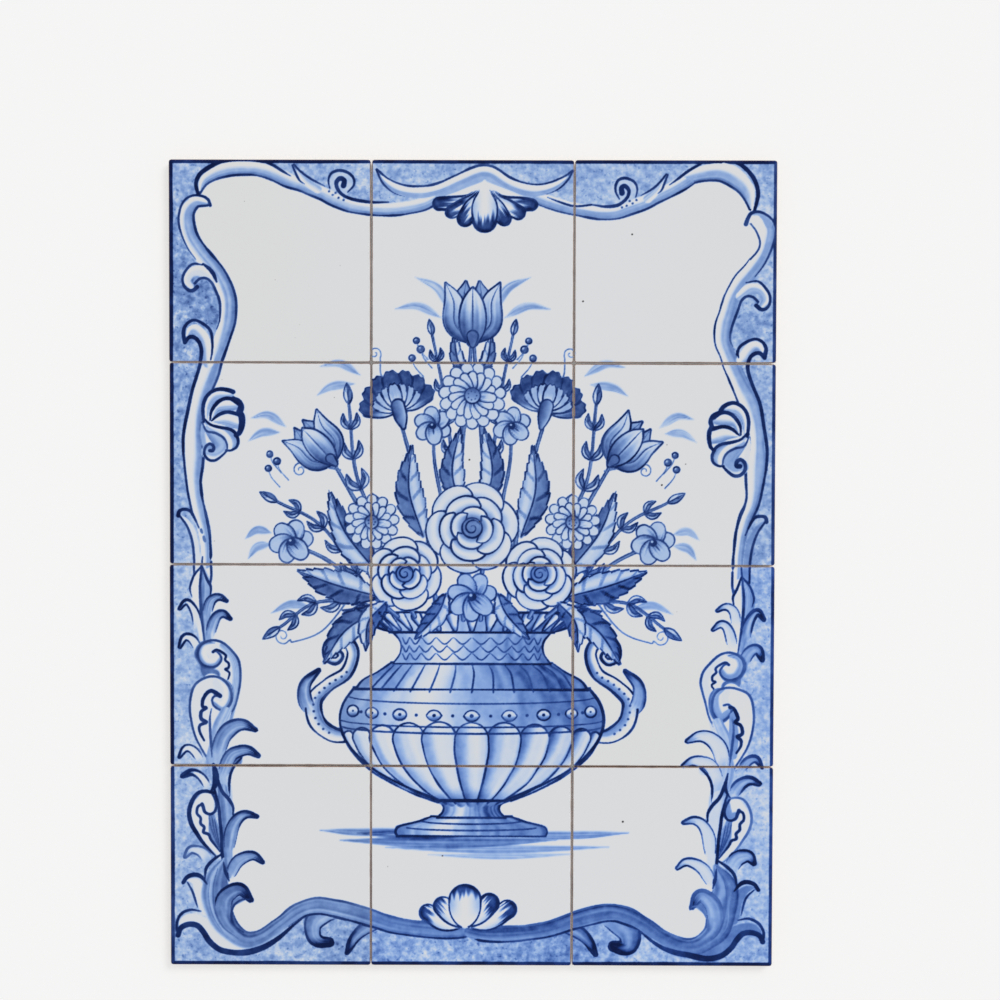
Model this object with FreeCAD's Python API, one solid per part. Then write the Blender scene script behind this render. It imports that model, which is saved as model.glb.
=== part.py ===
"""A hand-painted azulejo panel: square earthenware tiles, glazed face up, laid edge to edge.

The panel lies flat on its backs. X runs across the picture, Y up the picture, and Z out of the
glaze. The origin is the middle of the panel, on the plane that the backs rest on.
Lengths are in millimetres.
"""

import FreeCAD
import Part

import math
import os

# The tile, as pressed and glazed
TILE_SIDE = 140.0  # the widest part of the tile, just under the glazed face
THICKNESS = 8.0
SIDE_UNDERCUT = 0.6  # how far each side leans in from the face to the back
CORNER_WEAR = 0.5  # how much of each upright corner's point is worn off, along the diagonal
GLAZE_ROUND = 0.7  # the soft arris where the glaze rolls over the edge
BACK_ARRIS = 0.4  # the chamfer round the back

# The keys: shallow pockets pressed into the back, so that the bedding mortar grips
KEYS_PER_SIDE = 6
KEY_RIM = 6.0  # the plain border round the pockets
KEY_RIB = 3.2  # the rib left between two pockets
KEY_DEPTH = 0.9
KEY_SLOPE = 0.5  # how far each pocket wall leans in over that depth

# The panel, as laid
JOINT = 0.7  # the open joint between two tiles
ROWS = ("top", "upper", "lower", "bottom")
COLUMNS = ("left", "centre", "right")

# Tiles laid by hand never line up exactly. Each tile has a small move to the right, a move up,
# and a turn given as its rise from left edge to right edge, all as shares of the joint.
LAID_BY_HAND = {
    ("top", "left"): (-0.20, -0.05, 0.10),
    ("top", "centre"): (0.05, 0.00, -0.10),
    ("top", "right"): (0.10, 0.22, 0.05),
    ("upper", "left"): (0.12, 0.08, -0.10),
    ("upper", "centre"): (-0.05, 0.05, 0.05),
    ("upper", "right"): (0.05, -0.20, 0.10),
    ("lower", "left"): (-0.12, 0.18, 0.15),
    ("lower", "centre"): (0.00, -0.05, -0.05),
    ("lower", "right"): (0.15, -0.05, -0.10),
    ("bottom", "left"): (0.20, -0.15, 0.05),
    ("bottom", "centre"): (-0.10, 0.00, 0.10),
    ("bottom", "right"): (0.05, 0.15, -0.05),
}


def tile_section(width):
    """The section straight through a tile that is this wide just under its glazed face."""
    widest = width / 2
    foot = widest - SIDE_UNDERCUT
    crown = widest - GLAZE_ROUND
    shoulder = THICKNESS - GLAZE_ROUND
    roll = GLAZE_ROUND * math.sqrt(0.5)

    def point(x, z):
        return FreeCAD.Vector(x, 0, z)

    side = Part.makePolygon([point(foot - BACK_ARRIS, 0), point(foot, BACK_ARRIS), point(widest, shoulder)])
    glaze_roll = Part.Arc(point(widest, shoulder), point(crown + roll, shoulder + roll), point(crown, THICKNESS))
    right = [*side.Edges, glaze_roll.toShape()]
    left = [edge.mirror(point(0, 0), FreeCAD.Vector(1, 0, 0)) for edge in right]
    back = Part.makeLine(point(BACK_ARRIS - foot, 0), point(foot - BACK_ARRIS, 0))
    face = Part.makeLine(point(-crown, THICKNESS), point(crown, THICKNESS))
    return Part.Face(Part.Wire(Part.__sortEdges__([*right, *left, back, face])))


def tile_bar(width, turn):
    """A bar of the tile's section, longer than the tile and turned about the tile's middle."""
    bar = tile_section(width).extrude(FreeCAD.Vector(0, 2 * TILE_SIDE, 0))
    bar.translate(FreeCAD.Vector(0, -TILE_SIDE, 0))
    bar.rotate(FreeCAD.Vector(0, 0, 0), FreeCAD.Vector(0, 0, 1), turn)
    return bar


def tile_blank():
    """The plain pressed tile: what its square bars and its corner to corner bars have in common."""
    corner_to_corner = TILE_SIDE * math.sqrt(2) - 2 * CORNER_WEAR
    blank = tile_bar(TILE_SIDE, 0).common(tile_bar(TILE_SIDE, 90))
    for turn in (45, 135):
        blank = blank.common(tile_bar(corner_to_corner, turn))
    return blank.removeSplitter()


def key_pocket(mouth):
    """The block that presses one pocket: a square mouth at the back and a smaller floor above it."""
    floor_low, floor_high = KEY_SLOPE, mouth - KEY_SLOPE
    pocket = Part.makeWedge(0, 0, 0, floor_low, floor_low, mouth, KEY_DEPTH, mouth, floor_high, floor_high)
    pocket.rotate(FreeCAD.Vector(0, 0, 0), FreeCAD.Vector(1, 0, 0), 90)
    pocket.translate(FreeCAD.Vector(-mouth / 2, mouth / 2, 0))
    return pocket


def key_grid():
    """All the pockets of one back, in rows and columns about its middle."""
    keyed = TILE_SIDE - 2 * SIDE_UNDERCUT - 2 * KEY_RIM
    mouth = (keyed - (KEYS_PER_SIDE - 1) * KEY_RIB) / KEYS_PER_SIDE
    pocket = key_pocket(mouth)
    places = [(index - (KEYS_PER_SIDE - 1) / 2) * (mouth + KEY_RIB) for index in range(KEYS_PER_SIDE)]
    return Part.makeCompound([pocket.translated(FreeCAD.Vector(x, y, 0)) for x in places for y in places])


def laid_place(row, column):
    """Where one tile lies in the panel: its place in the grid, and how the hand left it there."""
    pitch = TILE_SIDE + JOINT
    right, up, rise = (share * JOINT for share in LAID_BY_HAND[row, column])
    x = (COLUMNS.index(column) - (len(COLUMNS) - 1) / 2) * pitch + right
    y = ((len(ROWS) - 1) / 2 - ROWS.index(row)) * pitch + up
    turn = FreeCAD.Rotation(FreeCAD.Vector(0, 0, 1), math.degrees(math.atan2(rise, TILE_SIDE)))
    return FreeCAD.Placement(FreeCAD.Vector(x, y, 0), turn)


def laid_panel():
    """Every tile in its place, by name, with the middle of the whole panel on the Z axis."""
    pressed = tile_blank().cut(key_grid())
    tiles = {}
    for row in ROWS:
        for column in COLUMNS:
            tile = pressed.Solids[0].copy()
            tile.Placement = laid_place(row, column)
            tiles[f"tile_{row}_{column}"] = tile
    middle = Part.makeCompound(list(tiles.values())).BoundBox.Center
    for tile in tiles.values():
        tile.translate(FreeCAD.Vector(-middle.x, -middle.y, 0))
    return tiles


def main():
    os.makedirs("parts", exist_ok=True)
    tiles = laid_panel()
    for name, tile in tiles.items():
        tile.exportStep(f"parts/{name}.step")
    size = Part.makeCompound(list(tiles.values())).BoundBox
    print(f"{len(tiles)} tiles, panel {size.XLength:.1f} x {size.YLength:.1f} x {size.ZLength:.1f} mm")
    print(f"one tile: {tiles['tile_top_left'].Volume / 1000:.1f} cubic centimetres")


main()
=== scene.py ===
# %% [markdown]
# # A hand-painted tile panel
# Twelve square earthenware tiles lie edge to edge and carry one picture in cobalt blue. The fixed
# frame gives the plain pressed tiles. This lesson glazes them, paints them and lights them.
# The blue is painted as a tile painter does it: a brush is swept along a few chosen points, and
# each sweep leaves a wash, a dark line or a bare highlight. Nothing here is an image. Every brush
# mark is worked out at the vertices of the tile faces and kept there as attributes.

# %% Load the frame
import math

import bmesh
import bpy
import numpy as np
from mathutils import Matrix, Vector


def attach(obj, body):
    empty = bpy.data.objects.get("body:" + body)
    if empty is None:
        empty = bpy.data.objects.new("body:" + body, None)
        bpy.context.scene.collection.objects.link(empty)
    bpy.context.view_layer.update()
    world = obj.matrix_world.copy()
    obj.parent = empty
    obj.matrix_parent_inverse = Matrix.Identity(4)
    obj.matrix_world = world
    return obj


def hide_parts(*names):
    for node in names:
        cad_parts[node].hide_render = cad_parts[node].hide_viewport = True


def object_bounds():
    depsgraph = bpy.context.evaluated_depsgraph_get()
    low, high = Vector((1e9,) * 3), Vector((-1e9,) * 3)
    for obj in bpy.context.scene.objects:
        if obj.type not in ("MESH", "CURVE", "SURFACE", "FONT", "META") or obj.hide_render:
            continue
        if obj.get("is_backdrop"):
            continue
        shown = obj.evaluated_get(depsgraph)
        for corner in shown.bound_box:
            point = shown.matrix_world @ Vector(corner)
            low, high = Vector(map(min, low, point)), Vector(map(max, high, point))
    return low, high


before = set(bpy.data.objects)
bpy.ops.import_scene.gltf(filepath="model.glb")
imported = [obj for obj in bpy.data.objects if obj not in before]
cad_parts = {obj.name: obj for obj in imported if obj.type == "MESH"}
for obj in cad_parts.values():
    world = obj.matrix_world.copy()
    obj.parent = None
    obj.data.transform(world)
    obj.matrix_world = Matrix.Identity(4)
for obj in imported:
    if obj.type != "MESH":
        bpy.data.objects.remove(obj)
cad_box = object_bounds()
MM = 0.001
ROWS = ("bottom", "lower", "upper", "top")
COLUMNS = ("left", "centre", "right")
print(f"{len(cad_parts)} tiles in the frame")

# %% [markdown]
# ## Where each tile lies
# Tiles laid by hand never line up exactly, so each one has a small shift and a small turn of its
# own. Both can be read off the frame: the flat face of a tile is a square, and the fourth power
# of a corner's direction, as a complex number, is the same for all four corners of a square. So
# the sum of those powers gives the turn, and the mean of the corners gives the middle.

# %% Read the tiles' places
def laid_place(node):
    """The middle of a tile in metres and its turn in radians, read from the corners of its face."""
    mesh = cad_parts[node].data
    points = np.zeros(3 * len(mesh.vertices))
    mesh.vertices.foreach_get("co", points)
    points = points.reshape(-1, 3)
    on_face = points[:, 2] > points[:, 2].max() - 0.01 * MM
    corners = np.unique(np.round(points[on_face, :2], 7), axis=0)
    middle = corners.mean(0)
    arms = (corners - middle) @ (1, 1j)
    return middle, float(np.angle(-(arms ** 4).sum())) / 4


places = {(row, column): laid_place(f"tile_{row}_{column}") for row in ROWS for column in COLUMNS}
turns = [math.degrees(turn) for _, turn in places.values()]
print(f"the tiles are turned by {min(turns):.3f} to {max(turns):.3f} degrees")

# %% [markdown]
# ## The canvas
# The picture was painted over all the tiles at once, before they were fired and laid again, which
# is why it breaks a little at the joints. So the canvas is the panel before laying: a raster of
# points, one for each vertex that a tile's face will have, in millimetres from the middle of the
# panel. It keeps four things at each point: the wash, the sponged ground, how deep the point lies
# inside the nearest brush line, and how dark that line is.

# %% Lay out the canvas
TILE_SIDE = 140.0
JOINT = 0.7
GLAZE_ROLL = 0.7  # the arris where the glaze rolls over the edge
THICKNESS = (cad_box[1].z - cad_box[0].z) / MM
PITCH = TILE_SIDE + JOINT
FACE = TILE_SIDE - 2 * GLAZE_ROLL
CELLS = 190  # squares along each side of a face
FAR = 9.0  # a depth that counts as far from any line
HALF_WIDE = (len(COLUMNS) * PITCH - JOINT) / 2
HALF_TALL = (len(ROWS) * PITCH - JOINT) / 2

face_line = np.linspace(-FACE / 2, FACE / 2, CELLS + 1)
xs = np.concatenate([(column - 1) * PITCH + face_line for column in range(len(COLUMNS))])
ys = np.concatenate([(row - 1.5) * PITCH + face_line for row in range(len(ROWS))])
wash = np.zeros((len(ys), len(xs)))
sponge = np.zeros_like(wash)
line = np.full_like(wash, -FAR)
line_tone = np.full_like(wash, 0.9)
print(f"the canvas has {len(xs)} by {len(ys)} points, {FACE / CELLS:.2f} mm apart")

# %% [markdown]
# ## Chance, and curves through a few points
# A hand trembles and a brush runs dry, so the marks need smooth chance: random values on a
# lattice, blended between. The table is seeded, so the panel is the same every time. Curves pass
# through a handful of chosen points. A cubic with the slopes of its neighbours does that, and the
# same function serves for the places along a stroke and for its changing width.

# %% Chance and curves
STEPS = 64  # of the lattice, after which it repeats
LATTICE = np.random.default_rng(1735).uniform(-1, 1, (STEPS, STEPS))


def grain(u, v):
    """Smooth chance between -1 and 1, with a new value for each step of 1 in u or in v."""
    u, v = np.broadcast_arrays(np.asarray(u, float), np.asarray(v, float))
    left, low = np.floor(u).astype(int), np.floor(v).astype(int)
    du, dv = u - left, v - low
    du, dv = du * du * (3 - 2 * du), dv * dv * (3 - 2 * dv)
    left, right, low, high = left % STEPS, (left + 1) % STEPS, low % STEPS, (low + 1) % STEPS
    below = LATTICE[left, low] * (1 - du) + LATTICE[right, low] * du
    above = LATTICE[left, high] * (1 - du) + LATTICE[right, high] * du
    return below * (1 - dv) + above * dv


def rise(low, high, value):
    """0 at low, 1 at high and a smooth rise between. It falls where low is the larger."""
    share = np.clip((value - low) / (high - low), 0, 1)
    return share * share * (3 - 2 * share)


def through(values, place):
    """A smooth curve through values, read at places from 0, the first value, to 1, the last."""
    values = np.asarray(values, float)
    slope = np.gradient(values, axis=0)
    at = np.clip(place, 0, 1) * (len(values) - 1)
    left = np.minimum(at.astype(int), len(values) - 2)
    f = (at - left)[:, None] if values.ndim == 2 else at - left
    blend = f * f * (3 - 2 * f)
    bend = f * (1 - f) * ((1 - f) * slope[left] - f * slope[left + 1])
    return values[left] * (1 - blend) + values[left + 1] * blend + bend


RUN = 0.8  # the length of one straight run of a stroke


def smooth_line(points):
    """The smooth curve through points, as short equal runs, with each joint's share of its length."""
    dense = through(points, np.linspace(0, 1, 30 * len(points)))
    length = np.concatenate([[0], np.cumsum(np.hypot(*np.diff(dense, axis=0).T))])
    share = np.linspace(0, 1, max(int(length[-1] / RUN), 4) + 1)
    path = np.column_stack([np.interp(share * length[-1], length, dense[:, axis]) for axis in (0, 1)])
    return path, share, length[-1]


print(f"a quarter turn through 3 points is {smooth_line([(1, 0), (0.707, 0.707), (0, 1)])[2]:.3f} long")

# %% [markdown]
# ## One stroke of the brush
# A round brush, pressed and lifted, leaves a mark with a middle line and a changing width. For
# each canvas point near it, a mark knows three things: how deep the point lies inside the mark's
# edge, how far along the mark it is, and how far across, from -1 on the right of the stroke to 1
# on its left. Ribbons, leaves, petals and outlines are all made from these three. A depth grows
# evenly across an edge, so the edge stays sharp between vertices, where a plain mask would blur.

# %% Sweep the brush
REACH = 2.2  # how far beyond its edge a mark is worked out
OUTSIDE = 1.3  # the most that a place across a mark can be
sweeps = 0


class Mark:
    """The canvas points round one stroke: their depth inside it, and their places along and across it."""

    def __init__(self, low, high):
        self.rows = slice(*np.searchsorted(ys, (low[1], high[1])))
        self.cols = slice(*np.searchsorted(xs, (low[0], high[0])))
        self.here = self.rows, self.cols
        self.x, self.y = xs[self.cols][None, :], ys[self.rows][:, None]
        self.depth = np.full((self.y.shape[0], self.x.shape[1]), -FAR)
        self.along = np.zeros_like(self.depth)
        self.across = np.zeros_like(self.depth)
        self.length, self.seed = 1.0, count_sweep()


def count_sweep():
    """A new number for each stroke, so that no two tremble alike."""
    global sweeps
    sweeps += 1
    return sweeps


def sweep(points, widths, tremble=0.05):
    """The mark of a brush that follows points, with widths given at equal shares of its way."""
    path, share, length = smooth_line(points)
    half = 0.5 * np.maximum(through(np.broadcast_to(widths, max(np.size(widths), 2)), share), 0.02)
    half = half * (1 + tremble * grain(share * length / 9 + 3.7 * (sweeps + 1), sweeps + 1))
    most = half.max() + REACH
    mark = Mark(path.min(0) - most, path.max(0) + most)
    mark.length = length
    wx, wy = mark.x[0], mark.y[:, 0]
    for i, ((ax, ay), (bx, by)) in enumerate(zip(path, path[1:])):
        near = max(half[i], half[i + 1]) + REACH
        cols = slice(*np.searchsorted(wx, (min(ax, bx) - near, max(ax, bx) + near)))
        rows = slice(*np.searchsorted(wy, (min(ay, by) - near, max(ay, by) + near)))
        run = math.hypot(bx - ax, by - ay)
        ux, uy = (bx - ax) / run, (by - ay) / run
        dx, dy = wx[cols][None, :] - ax, wy[rows][:, None] - ay
        t = np.clip((dx * ux + dy * uy) / run, 0, 1)
        radius = half[i] + (half[i + 1] - half[i]) * t
        depth = radius - np.hypot(dx - t * run * ux, dy - t * run * uy)
        nearer = depth > mark.depth[rows, cols]
        mark.depth[rows, cols][nearer] = depth[nearer]
        mark.along[rows, cols][nearer] = (share[i] + t * (share[i + 1] - share[i]))[nearer]
        mark.across[rows, cols][nearer] = np.clip((dy * ux - dx * uy) / radius, -OUTSIDE, OUTSIDE)[nearer]
    return mark


def blob(x, y, size):
    """The mark of a brush that is only set down: a round of the given size."""
    return sweep([(x - 0.05, y), (x + 0.05, y)], size)


def bristles(mark, count=5, run=45.0):
    """Streaks that the brush's hairs leave along a mark, between -1 and 1."""
    return grain(mark.across * count + 7.3 * mark.seed, mark.along * mark.length / run + mark.seed)


print(f"a trial sweep is {sweep([(0, 0), (20, 10)], 4).depth.max():.2f} mm deep at its middle")

# %% [markdown]
# ## Laying the colour
# Four moves are enough. Flooding lays a wash over what was there and wipes the lines under it, so
# that a shape painted later stands in front. Tinting adds a thin wash and leaves the rest. Inking
# makes the mark itself a dark line. A contour is a line round the mark's edge. Lines swell and
# thin out, and their colour changes a little as the brush runs dry.

# %% The painter's moves
def flood(mark, tone, hold=1.0):
    """Cover the mark with a wash, 0 being bare glaze. A hold under 1 lets what is under it through."""
    share = np.clip(0.5 + mark.depth / 0.7, 0, 1) * hold
    wash[mark.here] = wash[mark.here] * (1 - share) + np.clip(tone, 0, 1) * share
    sponge[mark.here] *= 1 - share
    wiped = np.where(share > 0.02, (1 - hold) * FAR - mark.depth * hold, FAR)
    line[mark.here] = np.minimum(line[mark.here], wiped)


def tint(mark, tone):
    """Add a thin wash to what is there."""
    share = np.clip(0.5 + mark.depth / 1.2, 0, 1) * np.clip(tone, 0, 1)
    wash[mark.here] = 1 - (1 - wash[mark.here]) * (1 - share)


def ink_to(mark, depth, tone):
    """Join a line, given by its depth, to the lines already there."""
    line_tone[mark.here] = np.where(depth > line[mark.here], tone, line_tone[mark.here])
    line[mark.here] = np.maximum(line[mark.here], depth)


def ink(mark, tone=0.9):
    """Fill the mark as a dark line."""
    ink_to(mark, mark.depth, tone + 0.07 * grain(mark.along * mark.length / 14 + mark.seed, mark.seed))


def contour(mark, width, tone=0.9, root=0.0, tip=0.0):
    """A brush line round the mark. It thins out over the shares root and tip of its length."""
    if root:
        width = width * rise(0.4 * root, root, mark.along)
    if tip:
        width = width * rise(1 - 0.4 * tip, 1 - tip, mark.along)
    travel = mark.along * mark.length
    width = width * (1 + 0.35 * grain(travel / 9 + 5.1 * mark.seed, mark.across + mark.seed))
    tone = tone + 0.1 * grain(travel / 14 + mark.seed, mark.across)
    ink_to(mark, np.where(width > 0.15, width / 2 - np.abs(mark.depth), -FAR), tone)


def stroke(points, width, tone=0.9, ends=(0.3, 0.3)):
    """A plain brush line, with the widths of its two ends as shares of its own."""
    ink(sweep(points, (ends[0] * width, width, width, ends[1] * width)), tone)


print("moves: flood, tint, ink, contour, stroke")

# %% [markdown]
# ## The sponged ground
# Outside the bare middle field, the border's ground is dabbed with a sponge full of thin cobalt.
# Its inner limit runs under the mouldings, which are painted over it later, so a few points are
# enough. The two sides of the border have the same forms. Their points are given for the left as the
# distance in from the side edge and the height above the middle, and one function puts them on
# either side. The right was drawn freely after the left, mostly a little lower, so three short
# tables say how far each part of it strays. The points were chosen on a picture of such a
# border, seen slightly from above, so one more function sets them square.

# %% Sponge the ground
SIDE_LIMIT = [(14, 252), (12, 236), (17, 220), (33, 200), (41, 181), (38, 160), (32, 140), (23, 117),
              (17, 92), (17, 70), (18, 46), (24, 18), (25, -2), (25, -36), (30, -63), (33, -90),
              (30, -120), (33, -150), (39, -190), (38, -220), (34, -240), (40, -256), (50, -270)]
TOP_LIMIT = [(14, 252), (19, 256), (26, 265), (37, 271), (51, 273), (67, 272), (81, 266), (96, 259),
             (114, 252), (131, 246), (150, 244), (176, 248), (211, 254)]
LOW_LIMIT = [(30, -244), (35, -250), (44, -261), (55, -265), (67, -261), (81, -250), (93, -242),
             (103, -238), (115, -240), (140, -247), (165, -254), (193, -257), (211, -256)]
# How far the right strays: at a height or an inset, so much farther in and so much higher.
SIDE_STRAY = [(-279, 0, 0), (-272, 1.4, -3.5), (-260, 1.4, -3.5), (-246, 2.1, -5.6), (-232, 4.2, -3.5),
              (-222, 0.7, -4.2), (-204, 2.8, -3.5), (-160, 1.4, -3.5), (-132, 1.4, -6.3), (-110, 0, -7),
              (-89, 0, -4.2), (-76, 2.1, -7.7), (-61, 1.4, -7.7), (-26, 0, -5.6), (-2, 0.7, -6.3),
              (33, 0, -2.8), (44, -1.4, -5.6), (61, -2.1, -9.1), (79, -3.5, -9.8), (120, -4.9, -8.4),
              (140, -2.8, -8.4), (152, -2.8, -9.8), (169, -2.8, -12.6), (183, -6.3, -12.6),
              (208, -3.5, -11.2), (234, -4.9, -10.5), (250, -7.7, -12.6), (256, -4.2, -9.8),
              (262, -5.6, -6.3), (269, -5.6, -2.8), (275, -6, 0.7), (281, -7, 0)]
TOP_STRAY = [(31, -6.3, -2.6), (52, -9.1, -2.6), (70, -11.2, -2.8), (87, -9.8, -6.3), (105, -14, -6.3),
             (120, -13.3, -4.9), (140, -21, -2.8), (154, -25, -1.4), (181, -17.5, 2.1), (211, 0, 0)]
LOW_STRAY = [(52, 0, -3.5), (63, 0, -5.6), (70, 0, -7.7), (84, 0, -9), (91, 0, -9), (101, 0, -7),
             (117, 0, -2.1), (140, 0, -2.1), (175, 0, -2.8), (211, 0, -2.1)]


def strayed(inset, height):
    """Where a point of the left side lies on the right side."""
    def read(table, place):
        at, farther_in, higher = np.array(table).T
        return np.array((np.interp(place, at, farther_in), np.interp(place, at, higher)))
    shift = read(SIDE_STRAY, height)
    if height > 235:
        shift = shift + rise(31, 42, inset) * (read(TOP_STRAY, inset) - shift)
    if height < -225:
        low = read(LOW_STRAY, inset) * (1 - 0.6 * rise(-253, -274, height))
        shift = shift + rise(45, 60, inset) * (low - shift)
    return inset + shift[0], height + shift[1]


def squared(x, y):
    """A place chosen on a picture in slight perspective, as a place on the panel."""
    return x * (1.0038 - 2.25e-5 * y), y + 2.5 - 2.1e-5 * (y - 130) ** 2


def on_side(hand):
    """A function that puts points on the left side, where hand is 1, or on the right, where it is -1."""
    def at(*points):
        drawn = points if hand > 0 else [strayed(*point) for point in points]
        upright = [squared(inset - HALF_WIDE, height) for inset, height in drawn]
        return [(hand * x, y) for x, y in upright]
    return at


def on_right(*points):
    """Points given for the right side alone."""
    return [squared(HALF_WIDE - inset, height) for inset, height in points]


# How full the sponge was on each side, from the bottom of the panel to the top.
SPONGE_LOAD = {1: (1.4, 0.9, 0.95, 1.0, 1.2, 1.5, 1.0), -1: (1.4, 0.8, 0.9, 1.05, 1.0, 1.1, 1.0)}


def sponge_ground():
    """Dab the ground outside the three limits."""
    for hand in (1, -1):
        columns = xs * hand <= 0
        x, y = np.abs(xs[columns]), ys[:, None]
        limits = SIDE_LIMIT, TOP_LIMIT, LOW_LIMIT
        (side_x, side_y), top, low = (np.array(on_side(hand)(*limit[::-1])).T for limit in limits)
        inner = np.interp(ys, side_y, np.abs(side_x))[:, None]
        ceiling, ground = (np.interp(x, np.abs(u), v) for u, v in (top, low))
        field = (x < inner) & (y < ceiling) & (y > ground)
        load = through(SPONGE_LOAD[hand], (y + HALF_TALL) / (2 * HALF_TALL))
        thinner = 1 - 0.2 * rise(-200, -240, y) * rise(60, 130, x)
        sponge[:, columns] = ~field * (load * thinner)


sponge_ground()
print(f"{100 * sponge.mean():.0f} percent of the panel is sponged")

# %% [markdown]
# ## The line round the edge
# A heavy line frames the whole panel, right at the edge of the outer tiles. It was drawn tile by
# tile with a loaded brush, so it is a row of short strokes rather than one ruled line. On the left
# it is drawn wider and darker than on the right, and that extra dark is painted shade along the
# panel's left edge.

# %% Draw the edge line
EDGE_IN = 1.3  # from the panel's edge to the middle of the line
HALF_RUN = 71  # half of a stroke, a little more than half a tile


def edge_line():
    for column in range(len(COLUMNS)):
        middle = (column - 1) * PITCH
        for v in (HALF_TALL - EDGE_IN, EDGE_IN - HALF_TALL):
            run = [(middle - HALF_RUN, v), (middle, v + 0.1), (middle + HALF_RUN, v)]
            ink(sweep(run, (2.5, 2.7, 2.5), tremble=0.08), 0.95)
    for row in range(len(ROWS)):
        middle = (row - 1.5) * PITCH
        # The left line is wider and darker than the right one: painted shade along the left edge.
        left = EDGE_IN - HALF_WIDE, 2.8, 1.0 if row else 0.88
        right = HALF_WIDE - EDGE_IN, 2.2, 0.84
        for u, width, tone in (left, right):
            run = [(u, middle - HALF_RUN), (u + 0.1, middle), (u, middle + HALF_RUN)]
            ink(sweep(run, (width, width + 0.2, width), tremble=0.08), tone)


edge_line()
print(f"{sweeps} strokes so far")

# %% [markdown]
# ## The mouldings' shapes
# The border is painted plasterwork: ribbons that swell and thin, lobes that hook over into a dark
# tip, and shells. A ribbon is bare along its lit edge and blue along the other. A lobe tapers to its
# tip, and its line is heavier on the outer side and thins out towards the stem. A shell is a fan of
# lobes with a dark, combed rim. The heavy outlines that join them are single strokes, laid last. The
# light comes from the left everywhere, so what points outwards is bare on the left side of the
# border and blue on the right, and what points inwards is the other way round.

# %% Ribbons, lobes and shells
# The tone and the widths of the lines, on the left and on the right.
OUTWARDS = {1: (0.04, (1.7, 1.4)), -1: (0.42, (1.9, 1.6))}
INWARDS = {1: (0.46, (1.5, 1.2)), -1: (0.13, (1.3, 1.1))}


def band(points, widths, lit, tone=0.36, white=0.2, lines=(0.0, 0.0)):
    """A ribbon with lines on both edges, bare as far as white on its lit side, the left where lit is 1."""
    mark = sweep(points, widths)
    u = mark.across * lit
    bare, lit_line, other_line = (through(np.broadcast_to(v, max(np.size(v), 2)), mark.along)
                                  for v in (white, *lines))
    shade = rise(bare + 0.25, bare - 0.3, u) * (0.75 + 0.5 * rise(-0.1, -1.0, u))
    flood(mark, tone * shade * (1 + 0.3 * bristles(mark)))
    contour(mark, np.where(u > 0, lit_line, other_line), 0.87, 0.0, 0.02)


def lobe(points, width, outer, tone=0.42, lines=(1.7, 1.4), root=0.35,
         shape=(0.6, 0.95, 1.0, 0.85, 0.6, 0.25), dark=0.82):
    """A lobe that tapers to a hooked tip. Its outer side is the left of the stroke where outer is 1."""
    mark = sweep(points, np.array(shape) * width)
    u, far = mark.across * outer, rise(0.1, 0.9, mark.along)
    streak = 0.28 * np.exp(-((u + 0.3) / 0.3) ** 2) * rise(0.9, 0.45, mark.along)
    body = tone * (0.85 + 0.25 * rise(0, 1, u) + 0.3 * bristles(mark, 4)) * (1 - streak)
    rim = rise(2.8, 0.3, mark.depth) * far * np.where(u > 0, 0.3, 0.15) * rise(0.02, 0.3, tone)
    tip = 0.5 * rise(0.74, 0.98, mark.along + 0.06 * bristles(mark, 4, 400)) * rise(-0.1, 0.3, tone)
    flood(mark, body + rim + tip, rise(0, root, mark.along))
    contour(mark, np.where(u > 0, lines[0], lines[1]) * (0.55 + 0.6 * far), dark + 0.1 * far, root)


def shell(pivot, lobes, shape=(0.22, 0.68, 0.95, 1.0), root=0.25):
    """A fan of lobes, each given by the middle of its end, its width and the share of it that is dark."""
    pivot, middle = np.array(pivot, float), (len(lobes) - 1) / 2
    turn = np.sign(pivot[1])
    for i in sorted(range(len(lobes)), key=lambda i: -abs(i - middle)):
        x, y, width, dark = lobes[i]
        run = np.array(squared(x, y)) - pivot
        long = np.hypot(*run)
        bulge = 0.06 * (middle - i) * np.array([-run[1], run[0]])
        mark = sweep([pivot, pivot + run / 2 + bulge, pivot + run], np.array(shape) * width)
        far = ((mark.x - pivot[0]) * run[0] + (mark.y - pivot[1]) * run[1]) / (long * (long + width / 2))
        outer = mark.across * np.sign(i - middle) * turn if i != middle else np.abs(mark.across)
        comb = 0.14 * bristles(mark, 0.55 * width, 500) + 0.12 * outer
        cap = rise(-0.09, 0.09, far - 1 + dark + comb) * (0.78 + 0.15 * rise(3.0, 0.6, mark.depth))
        side = rise(0.1, 1.0, outer) * rise(0.1, 0.5, far) * (1 - cap)
        flood(mark, cap + 0.24 * side)
        contour(mark, 1.4, 0.92, root)


def draw(at, width, tone, ends, *points):
    """A stroke on one side: its width, its tone, the shares of its two ends, and its points."""
    stroke(at(*points), width, tone, ends)


print("shapes: band, lobe, shell and plain strokes")

# %% [markdown]
# ## The top of the border
# From each upper corner a ribbon rises, runs along the top and dips to the middle, where the two
# meet under a raised bow with a shell hanging from it. The bow fills the middle tile and its peak
# stands a little right of the middle, as a hand put it there. Each ribbon throws off a thorn and a
# small coil over the sponged ground.

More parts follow.
